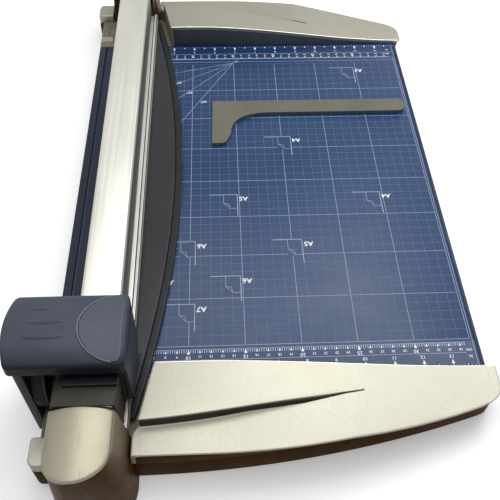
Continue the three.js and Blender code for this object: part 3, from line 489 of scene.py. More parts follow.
def skin(rows, columns, top, rounding=0.0, rings=4):
    """An upper surface with a rounded rim over a plan of rows (y, left, right).

    Gives its places, its faces and the loop of places along its outer rim."""
    low, high = rows[0][0], rows[-1][0]
    middle, half = (low + high) / 2, (high - low) / 2
    shrink = (half - rounding) / half
    plan, inner = [], []
    for y, left, right in rows:
        plan.append([(left + (right - left) * t, y) for t in columns])
        y_in = middle + (y - middle) * shrink
        a, b = left + rounding, right - rounding
        inner.append([(a + (b - a) * t, y_in) for t in columns])
    wide, tall = len(columns), len(rows)
    places = [(x, y, top(x, y)) for row in inner for x, y in row]
    faces = []
    for j in range(tall - 1):
        for i in range(wide - 1):
            k = j * wide + i
            faces.append((k, k + 1, k + 1 + wide, k + wide))
    rim = [(0, i) for i in range(wide)] + [(j, wide - 1) for j in range(1, tall)]
    rim += [(tall - 1, i) for i in range(wide - 2, -1, -1)] + [(j, 0) for j in range(tall - 2, 0, -1)]
    loop = [j * wide + i for j, i in rim]
    for ring in range(1, rings + 1 if rounding else 1):
        turn = math.pi / 2 * ring / rings
        share, drop = math.sin(turn), rounding * (1 - math.cos(turn))
        start = len(places)
        for j, i in rim:
            (x0, y0), (x1, y1) = inner[j][i], plan[j][i]
            x, y = x0 + (x1 - x0) * share, y0 + (y1 - y0) * share
            places.append((x, y, top(x, y) - drop))
        fresh = list(range(start, len(places)))
        faces += bridged(loop, fresh)
        loop = fresh
    return places, faces, loop


def bridged(first, second):
    """Faces between two closed loops of equally many places."""
    count = len(first)
    return [
        (first[i], second[i], second[(i + 1) % count], first[(i + 1) % count]) for i in range(count)
    ]


def lined(places, faces, rows, columns, under):
    """Adds an under surface to a skin's places and faces, and gives the loop of its rim."""
    below, under_faces, loop = skin(rows, columns, under)
    shift = len(places)
    places += below
    faces += [tuple(k + shift for k in reversed(face)) for face in under_faces]
    return [k + shift for k in loop]


def closed_plate(name, rows, columns, top, under, rounding, rings=4):
    """A plate between two surfaces on one plan."""
    places, faces, loop = skin(rows, columns, top, rounding, rings)
    under_loop = lined(places, faces, rows, columns, under)
    faces += bridged(loop, under_loop)
    return outward(mesh_of(name, [at(*p) for p in places], faces))


def lathe(profile, lay, steps=48):
    """A closed turned shape: profile points are (radius, along); lay places (a, b, along)."""
    vertices, faces = [], []
    for step in range(steps):
        turn = 2 * math.pi * step / steps
        vertices += [lay(r * math.cos(turn), r * math.sin(turn), z) for r, z in profile]
    count = len(profile)
    for step in range(steps):
        first, second = step * count, (step + 1) % steps * count
        for i in range(count):
            j = (i + 1) % count
            faces.append((first + i, first + j, second + j, second + i))
    return cleaned(mesh_of("turned", vertices, faces))


def lofted(name, sections):
    """A closed bar through sections of equally many places."""
    count = len(sections[0])
    places = [place for section in sections for place in section]
    faces = []
    for k in range(len(sections) - 1):
        a, b = count * k, count * (k + 1)
        faces += [(a + i, a + (i + 1) % count, b + (i + 1) % count, b + i) for i in range(count)]
    last = count * (len(sections) - 1)
    faces += [tuple(range(count)), tuple(range(last, last + count))]
    return outward(mesh_of(name, places, faces))


def prism(outline, low, high, lay=at):
    """A closed block on a plan outline; lay places (x, y, z)."""
    return lofted("prism", [[lay(x, y, z) for x, y in outline] for z in (low, high)])


def arc_fall(radius, away):
    """How far an arc falls from its top at a distance away from it."""
    return radius - math.sqrt(max(radius ** 2 - away ** 2, 0))


def gathered(meshes):
    """Several meshes with one finish as one mesh."""
    whole = bpy.data.meshes.new("gathered")
    with reshaped(whole) as shape:
        for mesh in meshes:
            shape.from_mesh(mesh)
    return whole


# Node trees
class Tree(Nodes):
    """A node tree with named inputs that makes geometry and gives it its finish."""

    def __init__(self, name, **inputs):
        super().__init__(bpy.data.node_groups.new(name, "GeometryNodeTree"))
        sockets = {"Geometry": "Geometry", **inputs, "Finish": "Material"}
        for label, kind in sockets.items():
            self.tree.interface.new_socket(label, in_out="INPUT", socket_type=f"NodeSocket{kind}")
        self.tree.interface.new_socket("Geometry", in_out="OUTPUT", socket_type="NodeSocketGeometry")
        self.given = self.tree.nodes.new("NodeGroupInput").outputs

    def path(self):
        """The curve along the edges that are given."""
        return self.add("GeometryNodeMeshToCurve", Mesh=self.given["Geometry"]).outputs["Curve"]

    def close(self, geometry):
        """The last steps of every tree: real geometry, then its finish."""
        real = self.add("GeometryNodeRealizeInstances", Geometry=geometry)
        dress = self.add(
            "GeometryNodeSetMaterial", Geometry=real.outputs["Geometry"], Material=self.given["Finish"]
        )
        self.add("NodeGroupOutput", Geometry=dress.outputs["Geometry"])
        return self.tree

    def sweep(self, path, section):
        """The tree closed with a section swept along a path."""
        section = section.outputs["Curve"]
        swept = self.add("GeometryNodeCurveToMesh", Curve=path, Profile_Curve=section, Fill_Caps=True)
        return self.close(swept.outputs["Mesh"])


def flat_line_tree():
    """Turns edges into flat printed lines."""
    tree = Tree("printed_lines", Width="Float", Thickness="Float")
    upright = tree.add("GeometryNodeSetCurveNormal", Curve=tree.path(), mode="Z_UP")
    width, height = tree.given["Width"], tree.given["Thickness"]
    section = tree.add("GeometryNodeCurvePrimitiveQuadrilateral", Width=width, Height=height)
    return tree.sweep(upright.outputs["Curve"], section)


def bead_tree():
    """A round bead or wire along a path."""
    tree = Tree("bead", Radius="Float", Sides="Int")
    radius, sides = tree.given["Radius"], tree.given["Sides"]
    section = tree.add("GeometryNodeCurvePrimitiveCircle", Radius=radius, Resolution=sides)
    return tree.sweep(tree.path(), section)


def row_tree(name, sides):
    """A straight row of equal marks: blocks, or arrows where sides is 3."""
    tree = Tree(name, Count="Int", First="Vector", Step="Vector", Size="Vector")
    line = tree.add(
        "GeometryNodeMeshLine", Count=tree.given["Count"], Start_Location=tree.given["First"],
        Offset=tree.given["Step"],
    )
    if sides == 4:
        mark = tree.add("GeometryNodeMeshCube").outputs["Mesh"]
    else:
        flat = tree.add("GeometryNodeMeshCylinder", Vertices=sides, Radius=3 ** -0.5, Depth=1.0)
        turned = (0, 0, math.pi / 2)
        mark = tree.add("GeometryNodeTransform", Geometry=flat.outputs["Mesh"], Rotation=turned)
        mark = mark.outputs["Geometry"]
    placed = tree.add(
        "GeometryNodeInstanceOnPoints", Points=line.outputs["Mesh"], Instance=mark, Scale=tree.given["Size"]
    )
    return tree.close(placed.outputs["Instances"])


def coil_tree():
    """A coil spring standing along Z."""
    tree = Tree("coil", Turns="Float", Radius="Float", Height="Float", Wire="Float")
    spiral = tree.add(
        "GeometryNodeCurveSpiral", Resolution=20, Rotations=tree.given["Turns"],
        Start_Radius=tree.given["Radius"], End_Radius=tree.given["Radius"], Height=tree.given["Height"],
    )
    section = tree.add("GeometryNodeCurvePrimitiveCircle", Resolution=8, Radius=tree.given["Wire"])
    return tree.sweep(spiral.outputs["Curve"], section)


line_tree = flat_line_tree()
round_tree = bead_tree()
block_row = row_tree("row_of_blocks", 4)
arrow_row = row_tree("row_of_arrows", 3)
spring_tree = coil_tree()


def grown(tree, values, vertices=((0, 0, 0),), edges=()):
    """Runs a node tree on points and edges and gives its plain mesh."""
    seed = bpy.data.meshes.new("seed")
    seed.from_pydata([tuple(v) for v in vertices], list(edges), [])
    holder = held("grown", seed)
    modifier = holder.modifiers.new("tree", "NODES")
    modifier.node_group = tree
    for item in tree.interface.items_tree:
        if item.in_out == "INPUT" and item.name in values:
            modifier[item.identifier] = values[item.name]
    return evaluated(holder)


def lines(segments, width, top, finish):
    """Printed lines: segments are ((x, y), (x, y)) on the mat."""
    vertices, edges = [], []
    middle = (print_low + top) / 2
    for path in segments:
        start = len(vertices)
        vertices += [at(x, y, middle) for x, y in path]
        edges += [(start + i, start + i + 1) for i in range(len(path) - 1)]
    values = {"Width": width * mm, "Thickness": (top - print_low) * mm, "Finish": finish}
    return grown(line_tree, values, vertices, edges)


def row(tree, count, first, step, size, top, finish):
    """A row of marks; first is the middle of the first one, on the mat."""
    values = {
        "Count": count,
        "First": at(first[0], first[1], (print_low + top) / 2),
        "Step": (step * mm, 0, 0),
        "Size": (size[0] * mm, size[1] * mm, (top - print_low) * mm),
        "Finish": finish,
    }
    return grown(tree, values)


def bead(points, radius, finish, sides=8):
    """A round bead along points of the trimmer."""
    edges = [(i, i + 1) for i in range(len(points) - 1)]
    values = {"Radius": radius * mm, "Sides": sides, "Finish": finish}
    return grown(round_tree, values, [at(*p) for p in points], edges)


coil_radius, wire = 3.9, 0.6


def coil(place, turns, height):
    """A steel coil spring standing on a place; place and height are in metres."""
    size = {"Turns": turns, "Radius": coil_radius * mm, "Height": height, "Wire": wire * mm}
    mesh = grown(spring_tree, {**size, "Finish": steel})
    mesh.transform(Matrix.Translation(place))
    return mesh


# Print on the mat
inch = 25.4
glyph_half = 0.035
bold_size = 7
glyphs = {}


def glyph(text, size):
    """Text as a closed mesh round its own middle."""
    if (text, size) not in glyphs:
        curve = bpy.data.curves.new("mark", "FONT")
        curve.body = text
        curve.size = size * mm
        curve.align_x, curve.align_y = "CENTER", "CENTER"
        curve.extrude = glyph_half * mm
        curve.resolution_u = 2
        curve.offset = (0.13 if size > bold_size else 0.02) * mm
        mesh = evaluated(held("mark", curve))
        with reshaped(mesh) as shape:
            bmesh.ops.remove_doubles(shape, verts=shape.verts, dist=glyph_weld)
        glyphs[(text, size)] = mesh
    return glyphs[(text, size)]


def lettering(marks):
    """Numbers and size names, which stand on their heads for the camera: (text, x, y, size)."""
    meshes = []
    for text, x, y, size in marks:
        mesh = glyph(text, size).copy()
        mesh.transform(Matrix.Translation(at(x, y, 0.02)) @ Matrix.Rotation(math.pi, 4, "Z"))
        meshes.append(mesh)
    return gathered(meshes)


# Paper sizes marked on the mat: name, width from the cut line, length from the near stop.
paper_marks = [
    ("A3", 297, 420), ("A4", 210, 297), ("A5", 148, 210), ("A4", 297, 210), ("A6", 105, 148),
    ("A5", 210, 148), ("A6", 148, 105), ("A7", 105, 74), ("A7", 74, 105),
]
page_width, page_length, page_margin = 15, 20, 1
grid_step, grid_columns, grid_rows = 10.0, 34, 40
grid_left, grid_right = mat_left + 1, 350
grid_far, grid_near = 195.0, -205.3
far_line, near_line, side_line = 205.6, -219.3, 352
angle_centre = (150.0, 198.0)
angle_reach = ((15, 132), (30, 118), (45, 140), (60, 150))


def gaps_in(start, end, cross, vertical):
    """Stretches of a grid line that stay clear of the page marks."""
    cuts = []
    for _, width, length in paper_marks:
        across = (width - page_width, width + page_margin)
        along = (length - stop - page_length, length - stop + page_margin)
        here, there = (across, along) if vertical else (along, across)
        if here[0] < cross < here[1]:
            cuts.append(there)
    pieces = []
    for low, high in sorted(cuts):
        if low > start:
            pieces.append((start, low))
        start = max(start, high)
    return pieces + [(start, end)]


def grid():
    """The fine lines of the one-centimetre grid, and every fifth line for bold print."""
    minor, major = [], []
    for step in range(1, grid_columns + 1):
        x = grid_step * step
        chosen = minor if step % 5 else major
        chosen += [((x, a), (x, b)) for a, b in gaps_in(grid_near, grid_far, x, True)]
    for step in range(grid_rows):
        y = grid_far - grid_step * step
        chosen = major if step and step % 5 == 0 else minor
        chosen += [((a, y), (b, y)) for a, b in gaps_in(grid_left, grid_right, y, False)]
    return minor, major


def angle_lines():
    found = []
    x0, y0 = angle_centre
    for angle, length in angle_reach:
        right, up = math.cos(math.radians(angle)), math.sin(math.radians(angle))
        found.append(((x0, y0), (x0 - length * right, y0 - length * up)))
        found.append(((x0, y0), (x0 + 7 * right, y0 + 7 * up)))
    return found


def page_marks():
    """The corner lines of each paper size and the small page with a turned-up corner in it."""
    corners, pages = [], []
    for _, x, length in paper_marks:
        y = length - stop
        corners.append(((x - 29, y), (x, y), (x, y - 29)))
        left, low = x - 14.2, y - 19
        pages.append(((left, y), (left, low + 7), (left + 6.5, low), (x, low)))
        pages.append(((left, low + 7), (left + 5.2, low + 6.2), (left + 6.5, low)))
    return corners, pages


def print_mat():
    """Everything printed on the mat, each ink a piece of its own."""
    minor, major = grid()
    put("mat_grid_fine", lines(minor, 0.36, 0.02, grid_ink), "base", None, sharp=0)
    ends = [(grid_right, grid_far + 5), (grid_right, far_line), (side_line, 216)]
    ends += [(grid_right, grid_near), (344, near_line)]
    borders = [((grid_left, y), (x, y)) for x, y in ends]
    borders += [((side_line, 230), (side_line, -231)), ((grid_right, far_line), (grid_right, grid_near))]
    drawn = lines(major + borders + angle_lines(), 0.52, 0.03, major_ink)
    put("mat_grid_bold", drawn, "base", None, sharp=0)
    corners, pages = page_marks()
    marks = gathered([lines(corners, 0.8, 0.045, line_ink), lines(pages, 0.4, 0.045, line_ink)])
    put("mat_page_marks", marks, "base", line_ink, sharp=0)
    bands = []
    band_left, band_right, band_top = mat_left + 0.2, 353.8, 0.012
    for low, high in ((206, 234.3), (-234.3, -207.2)):
        bands.append(prism(rectangle(band_left, band_right, low, high), print_low, band_top))
    put("mat_bands", gathered(bands), "base", band_finish, sharp=0)
    print_rulers()


# Rows of ruler marks: tree, count, place of the first, step, size, top of the ink.
ruler_top = 0.05
ruler_rows = (
    # the near ruler, in centimetres
    (arrow_row, 34, (10, -211.2), 10, (1.8, 3.6), ruler_top + 0.01),
    (arrow_row, 6, (50, -211.9), 50, (2.6, 5.6), ruler_top + 0.02),
    # the near ruler, in inches
    (block_row, 105, (inch, -232.4), inch / 8, (0.3, 1.8), ruler_top),
    (block_row, 26, (inch, -231.8), inch / 2, (0.36, 3.0), ruler_top),
    (arrow_row, 13, (inch, -228.2), inch, (2.8, 5.0), ruler_top),
    # the far ruler, in inches
    (block_row, 105, (inch, 229.6), inch / 8, (0.3, 1.8), ruler_top),
    (block_row, 26, (inch, 228.6), inch / 2, (1.3, 2.6), ruler_top),
    (arrow_row, 13, (inch, 226.4), inch, (3.0, -6.0), ruler_top),
    # the far ruler, in centimetres
    (block_row, 335, (10, 206.6), 1, (0.26, 1.4), ruler_top),
    (arrow_row, 34, (10, 208.4), 10, (2.0, -2.8), ruler_top),
    (arrow_row, 6, (50, 209.4), 50, (3.2, -4.6), ruler_top),
)


def print_rulers():
    """The marks of both rulers, and all numbers and names on the mat."""
    ticks = gathered([row(*values, white_ink) for values in ruler_rows])
    put("mat_ruler_ticks", ticks, "base", white_ink, sharp=0)
    fine = [
        row(block_row, 168, (10, -210.5), 2, (0.55, 3.4), 0.045, tick_ink),
        lines([((10, -208.7), (344.5, -208.7))], 0.3, 0.045, tick_ink),
    ]
    put("mat_ruler_fine", gathered(fine), "base", tick_ink, sharp=0)
    marks = []
    for number in range(1, 35):
        large = number % 5 == 0
        marks.append((str(number), 10.0 * number, -216.8 if large else -215.8, 5.0 if large else 3.4))
        marks.append((str(number), 10.0 * number, 213.0, 4.4 if large else 3.2))
    for number in range(1, 14):
        marks.append((str(number), inch * number, -222.6, 4.6))
        marks.append((str(number), inch * number, 219.6, 3.8))
    marks += [("cm", 347, -216.8, 4.6), ("in", 347, -223.2, 4.6)]
    marks += [("in", 345, 220.6, 4.4), ("cm", 345, 212.6, 4.4)]
    marks += [(name, width + 6.2, length - stop - 5.6, 8.0) for name, width, length in paper_marks]
    marks += [("30°", 83.2, 160.6, 5.4), ("45°", 96.4, 141.6, 5.4), ("60°", 112.8, 124.6, 5.4)]
    put("mat_numbers", lettering(marks), "base", white_ink, sharp=0)


# Board, strips and ends
def make_board():
    refined("base_board", board_finish, 0.6)
    refined("cutting_mat", mat_finish, 0.3)
    refined("cutting_strip", strip_plastic, 0.6, 3)
    refined("left_edge_strip", strip_plastic, 1.0, 3)
    refined("right_edge_trim", trim_plastic, 0.9, 3)
    for i in (1, 2, 3):
        refined(f"board_stiffener_{i}", steel, 0.4)
    groove = lines([((0, -mat_half + 0.4), (0, mat_half - 0.4))], 0.5, 0.02, black_plastic)
    put("cut_line", groove, "base", None, sharp=0)


# The lid of an end: x runs along the stop, s outward from the middle of the mat.
cap_high, cap_low, shelf = 27.0, 4.0, 16.0
fall_from, fall_run = 100, 270
cap_right, cap_corner, near_corner = 364.5, 20.0, 2.5
cap_wall, rim_wall, cap_foot = 3.0, 1.3, 0.3
cap_depth, cap_bend, cap_straight = 75, 694, 120
step_depth, step_bend, step_from, step_straight = 51.5, 670.0, 28, 137.0
cap_left_corners = [(stop, 73.0), (stop + 50.8, 62.6), (stop + 56.5, 57.5), (stop + 80, 57.5)]
right_angle = math.pi / 2


def plateau(x):
    """The lid's height, falling smoothly towards its right end."""
    share = min(max((x - fall_from) / fall_run, 0), 1)
    return cap_high - (cap_high - cap_low) * share * share * (3 - 2 * share)


def shelf_top(x):
    return min(plateau(x), shelf)


def fade(x):
    """How high the step stands at a place, never less than nothing."""
    return max(plateau(x) - shelf, 0.0)


def cap_edge(x):
    return stop + cap_depth - arc_fall(cap_bend, max(x - cap_straight, 0))


def step_edge(x):
    """The step's depth, curved at first and then straight."""
    bent = min(x, step_straight) - step_from
    level = math.sqrt(step_bend ** 2 - bent ** 2)
    return stop + step_depth - (step_bend - level) - max(x - step_straight, 0) * bent / level


def cap_left(s):
    """The cap's left edge at a depth from the middle of the mat."""
    for (s0, x0), (s1, x1) in zip(cap_left_corners, cap_left_corners[1:]):
        if s <= s1:
            return x0 + (x1 - x0) * max(s - s0, 0) / (s1 - s0)
    return cap_left_corners[-1][1]


corner_from = cap_right - cap_corner
corner_depth = cap_edge(corner_from)
corner_low = corner_depth - cap_corner
corner_tip = cap_edge(cap_right)


def corner_at(t):
    """The lid's round right corner, from its side at 0 to its outer rim at 1."""
    x = (1 - t) ** 2 * cap_right + 2 * t * (1 - t) * cap_right + t * t * corner_from
    return x, (1 - t) ** 2 * corner_low + 2 * t * (1 - t) * corner_tip + t * t * corner_depth


corner_places = [corner_at(k / 24) for k in range(25)]


def cap_right_at(s):
    """The cap's right edge, straight and then round the corner."""
    if s <= corner_low:
        return cap_right - arc_fall(near_corner, max(stop + near_corner - s, 0))
    for (xa, ya), (xb, yb) in zip(corner_places, corner_places[1:]):
        if s <= yb:
            return xa + (xb - xa) * (s - ya) / (yb - ya)
    return corner_from


def bend(radius, x):
    """A radius at the step, smaller where the step is low."""
    return min(radius, 0.45 * fade(x))


def cap_rows():
    """Rows of the cap from the stop outward: (depth at x, top at x)."""
    lip, crest, foot, outer, past_step = 0.9, 1.0, 1.6, 0.7, 2.2
    rows = []
    for turn in spaced(0, right_angle, 4):
        rows.append((
            lambda x, e=lip * (1 - math.cos(turn)): stop + e,
            lambda x, d=lip * (1 - math.sin(turn)): plateau(x) - d,
        ))
    for share in (0.03, 0.07, 0.12, 0.25, 0.5, 0.75, 0.9):
        rows.append((
            lambda x, q=share: stop + lip + (step_edge(x) - crest - stop - lip) * q,
            plateau,
        ))
    for turn in spaced(0, right_angle, 5):
        rows.append((
            lambda x, a=turn: step_edge(x) - crest * 0.8 + bend(crest, x) * math.sin(a) * 0.9,
            lambda x, a=turn: plateau(x) - bend(crest, x) * (1 - math.cos(a)),
        ))
    for turn in spaced(right_angle, 0, 5):
        rows.append((
            lambda x, a=turn: step_edge(x) + 0.2 + 0.04 * fade(x) + bend(foot, x) * (1 - math.sin(a)),
            lambda x, a=turn: shelf_top(x) + bend(foot, x) * (1 - math.cos(a)),
        ))
    for share in (0.12, 0.3, 0.45, 0.58, 0.7, 0.8, 0.88, 0.94):
        rows.append((
            lambda x, q=share: (step_edge(x) + past_step) * (1 - q) + (cap_edge(x) - outer) * q,
            shelf_top,
        ))
    for turn in spaced(0, right_angle, 5):
        rows.append((
            lambda x, e=outer * (1 - math.sin(turn)): cap_edge(x) - e,
            lambda x, d=outer * (1 - math.cos(turn)): shelf_top(x) - d,
        ))
    return rows


def lid_wall(x, s):
    """The lid's thickness, thinner at its outer rim."""
    share = min(max((cap_edge(x) - s) / 3.0, 0), 1)
    return rim_wall + (cap_wall - rim_wall) * share


def solve_place(share, depth, left, right):
    """Where a share across the cap meets a row of it."""
    low, high = stop - 1, stop + 80
    for _ in range(40):
        s = (low + high) / 2
        x = left(s) + (right(s) - left(s)) * share
        if depth(x) > s:
            low = s
        else:
            high = s
    s = (low + high) / 2
    return left(s) + (right(s) - left(s)) * share, s


def make_cap(side, sign):
    """The silver lid of an end: plateau, fading step and shelf, with a left wall."""
    edge = 0.9
    columns = [0.004, 0.010, 0.018] + spaced(0.026, 0.97, 110) + [0.978, 0.985, 0.991, 0.996]
    eased_edge = [(edge * (1 - math.cos(a)), edge * (1 - math.sin(a))) for a in spaced(0, right_angle, 4)]
    places, loops = [], []

    def inside(s):
        return cap_left(s) + edge

    def outside(s):
        return cap_right_at(s) - edge

    def wall_inside(s):
        return cap_left(s) + cap_wall

    for depth, top in cap_rows():
        # left wall, outer face from its foot up, then the rounded upper edge
        x, s = solve_place(0, depth, cap_left, cap_right_at)
        crown = top(x + edge)
        ring = [(x, s, cap_foot)] + [(x + a, s, crown - b) for a, b in eased_edge]
        for share in columns:
            x, s = solve_place(share, depth, inside, outside)
            ring.append((x, s, top(x)))
        x, s = solve_place(1, depth, cap_left, cap_right_at)
        crown = top(x - edge)
        ring += [(x - a, s, crown - b) for a, b in reversed(eased_edge)]
        # underside, back to the left wall's inner face
        ring.append((x, s, crown - rim_wall))
        for share in spaced(0.98, 0.02, 56):
            x, s = solve_place(share, depth, wall_inside, cap_right_at)
            ring.append((x, s, top(x) - lid_wall(x, s)))
        x, s = solve_place(0, depth, wall_inside, cap_right_at)
        ring += [(x, s, top(x) - cap_wall), (x, s, cap_foot)]
        start = len(places)
        places += [at(px, sign * py, pz) for px, py, pz in ring]
        loops.append(list(range(start, len(places))))
    faces = [tuple(loops[0]), tuple(loops[-1])]
    for first, second in zip(loops, loops[1:]):
        faces += bridged(first, second)
    mesh = cleaned(mesh_of("cap", places, faces))
    put(f"{side}_cap_lid", mesh, "base", silver, (f"{side}_end_cap",), sharp=38)


def make_step_band(side, sign):
    """The dark band that faces the step, dying away with it: painted shade of the step, widened near its
    tip into a painted shadow on the shelf.
    """
    start, end = 64.0, 246.0
    wide_from, wide_at, wide_to = 150, 195, 195
    sections = []
    for x in spaced(start, end, 130):
        grows, shrinks = (x - wide_from) / (wide_at - wide_from), (end - x) / (end - wide_to)
        # wider spreads the band over the shelf as a painted shadow near the step's tip
        wider = max(min(grows, shrinks, 1), 0) * 2.0
        s = step_edge(x) + 0.42 + 0.05 * fade(x)
        low = shelf_top(x) + 0.02
        high = max(plateau(x) - min(0.9, 0.3 * fade(x)), low + 0.03)
        foot, crown = s + wider, s - 0.1 + 0.3 * wider
        corners = ((foot, low), (crown, high), (crown - 1.2, high), (foot - 1.4, low))
        sections.append([at(x, sign * depth, z) for depth, z in corners])
    band = lofted("step_band", sections)
    put(f"{side}_cap_step_band", band, "base", step_dark, sharp=40)


def make_seam(side, sign):
    """A dark band under the lid's outer rim, round to the stop: painted shade under the rim."""
    path = [(x, cap_edge(x)) for x in spaced(60.5, corner_from, 60)]
    path += [corner_at(1 - k / 12) for k in range(1, 13)]
    path += [(cap_right, s) for s in spaced(corner_low - 1, stop + 4, 10)]
    corners = ((0.5, 3.0), (0.5, 1.25), (3.4, 2.9), (3.4, 3.0))
    sections = []
    for k, (x, s) in enumerate(path):
        ax, ay = path[max(k - 1, 0)]
        bx, by = path[min(k + 1, len(path) - 1)]
        run = math.hypot(bx - ax, by - ay)
        in_x, in_s = (by - ay) / run, (ax - bx) / run
        crown = shelf_top(x)
        sections.append([at(x + in_x * d, sign * (s + in_s * d), crown - h) for d, h in corners])
    put(f"{side}_cap_rim_shade", lofted("seam", sections), "base", step_dark, sharp=40)


def make_lip(side, sign):
    """A bright metal bead along the lid's edge over the paper stop, a painted highlight of that edge."""
    inset = 0.42
    path = [(x, sign * (stop + inset), plateau(x) - inset) for x in spaced(74.6, cap_right - 3, 90)]
    put(f"{side}_cap_lip", bead(path, 0.45, bright_silver), "base", None, sharp=60)


def make_deck_details(side, sign):
    """A dark bracket pressed into the deck, and a raised pad beside it."""
    near, far, right, left = sign * 258.7, sign * 276.4, -1.0, -8.6
    bracket = lines([[(right, near), (left, near), (left, far), (right, far)]], 1.0, 0.12, black_plastic)
    put(f"{side}_deck_bracket", bracket, "base", None, sharp=0)
    pad = eased(prism(rectangle(-16.6, -3.2, sign * 245.2, sign * 254.6), -0.2, 0.4), 0.2)
    put(f"{side}_deck_pad", pad, "base", pad_grey, sharp=0)


dome_left, dome_right, dome_near, dome_far = 1.2, 49.2, 290.4, 346.4
dome_crown, dome_sag, dome_wall = 64.0, 7.0, 2.5


def dome_top(x, y):
    """The dome's height: an arch across, drooping at its outer end."""
    half = (dome_right - dome_left) / 2
    droop = 0.012 * max(abs(y) - (dome_far - 9), 0) ** 2
    return dome_crown - dome_sag * ((x - dome_left - half) / half) ** 2 - droop


def make_dome(side, sign):
    """The silver cover over the rail's end, arched, with round outer corners."""
    left_round, right_round = 20.0, 26.0
    depths = spaced(dome_near, dome_far - right_round, 8)
    depths += [dome_far - right_round * (1 - math.sin(a)) for a in spaced(0, right_angle, 24)[1:]]
    rows = []
    for s in depths:
        left = dome_left + arc_fall(left_round, max(s - (dome_far - left_round), 0))
        right = dome_right - arc_fall(right_round, max(s - (dome_far - right_round), 0))
        rows.append((sign * s, left, right))
    if sign < 0:
        rows.reverse()
    columns = spaced(0, 1, 28)
    mesh = closed_plate("dome", rows, columns, dome_top, lambda x, y: dome_top(x, y) - dome_wall, 1.1)
    put(f"{side}_dome", mesh, "base", dome_silver, (f"{side}_dome_cover",), sharp=40)


def make_screw(side, sign):
    """The screw in the tower: a shank and a rounded head with a socket."""
    middle_z, seat = 44.0, stop + 77.8
    shank, head, socket = 2.5, 5, 2.0
    profile = [(0, -33), (shank, -33), (shank, 0), (head, 0), (head, 1.8), (4.2, 3)]
    profile += [(socket, 3), (socket, 1.2), (0, 1.2)]
    mesh = lathe(profile, lambda a, b, s: at(rail_x + a, sign * (seat + s), middle_z + b), 36)
    put(f"{side}_rail_bolt", mesh, "base", steel, (f"{side}_rail_screw",), sharp=35)


# Pieces of both ends that keep the CAD's shape: name, finish, slot, width and steps of the bevel.
end_pieces = (
    ("end_tray", taupe, "taupe_plastic", 0.8, 3),
    ("end_riser", taupe, "taupe_plastic", 0.4, 2),
    ("end_fence", slate, "slate_plastic", 0.3, 2),
    ("end_deck", deck_grey, "grey_plastic", 0.6, 3),
    ("end_block", silver, "silver_paint", 1.3, 4),
    ("support_tower", tower_grey, "grey_plastic", 0.8, 3),
    ("rail_saddle", dark_plastic, "dark_plastic", 1.0, 3),
    ("foot_left", foot_rubber, "rubber", 0.8, 3),
    ("foot_right", foot_rubber, "rubber", 0.8, 3),
    ("rail_plug", nylon, "nylon", 0.5, 2),
    ("clamp_pin", steel, "steel", 0.4, 2),
)
clamp_pin_x, clamp_pin_depth = 38, stop + 42.7


def make_end(side, sign):
    """One end of the trimmer: side names it, sign is its direction along Y."""
    for piece, finish, slot, width, steps in end_pieces:
        refined(f"{side}_{piece}", finish, width, steps)
    for make in (make_cap, make_step_band, make_seam, make_lip, make_dome, make_deck_details, make_screw):
        make(side, sign)
    spring = coil(at(clamp_pin_x, sign * clamp_pin_depth, 0.95), 4.5, 6.2 * mm)
    put(f"{side}_clamp_coil", spring, "base", None, (f"{side}_clamp_spring",), sharp=40)


# Rail, clamp and guard
guard_root, guard_reach, guard_bend = 54.3, 90.5, 1180
rim_half, rim_width, rim_top, rim_under = 275, 7, 7.3, 4.8


def guard_edge(y):
    return guard_reach - arc_fall(guard_bend, y)


def guard_top(x, y):
    return 8.5 - 1.4 * (x - guard_root) / 36.5


def guard_under(x, y):
    return guard_top(x, y) - 1.6


def make_guard():
    """The clamp bar, its two dark lines, the smoked guard and the guard's rim."""
    low, high = (corner.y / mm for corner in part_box("guard_sheet"))
    rows = [(y, guard_root, guard_edge(y) - 7.3) for y in spaced(low, high, 64)]
    sheet = closed_plate("guard", rows, spaced(0, 1, 8), guard_top, guard_under, 0.3, 2)
    put("guard_window", sheet, "clamp", guard_finish, ("guard_sheet",), sharp=40)
    rows = []
    for y in spaced(-rim_half, rim_half, 90):
        rows.append((y, max(guard_edge(y) - rim_width, guard_root), guard_edge(y)))
    rim = closed_plate("rim", rows, spaced(0, 1, 6), lambda x, y: rim_top, lambda x, y: rim_under, 1.0)
    put("guard_border", rim, "clamp", black_plastic, ("guard_rim",), sharp=40)
    refined("clamp_bar", clamp_finish, 0.3, body="clamp")
    low, high = (corner.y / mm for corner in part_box("clamp_bar"))
    face = (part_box("clamp_bar")[1].z - mat_top) / mm
    for name, x, wide in (("groove", 49.9, 1.0), ("edge", 53.4, 0.9)):
        plan = rectangle(x - wide / 2, x + wide / 2, low + 0.4, high - 0.4)
        block = prism(plan, face - 0.3, face + 0.03)
        put(f"clamp_bar_{name}", block, "clamp", black_plastic, sharp=0)


# Cutter head
head_crown, head_sag, head_half, head_wall, head_foot = 87, 5, 32.0, 3.0, 72.0
head_left, head_right, head_corner = -35, 58.5, 4
# Finger ribs: middle across, middle along from the blade, half length, half width.
finger_ribs = ((-2.8, -8.4, 18.6, 2.4), (-2.8, 4.4, 18.6, 2.0), (-6.0, 17.2, 10.5, 1.3))
rib_height = 1.15


def housing_top(y):
    return head_crown - head_sag * ((y - head_y) / head_half) ** 2


def grip_height(x, y):
    """Three lens-shaped finger ribs on the housing's left."""
    rise = 0.0
    for middle_x, middle_y, half, width in finger_ribs:
        slim = 1 - ((x - middle_x) / half) ** 2
        reach = max(width * slim, 0.01)
        flat = 1 - ((y - head_y - middle_y) / reach) ** 2
        if slim > 0 and flat > 0:
            rise = max(rise, rib_height * math.sqrt(slim * flat) * min(width * slim / 1.2, 1))
    return rise


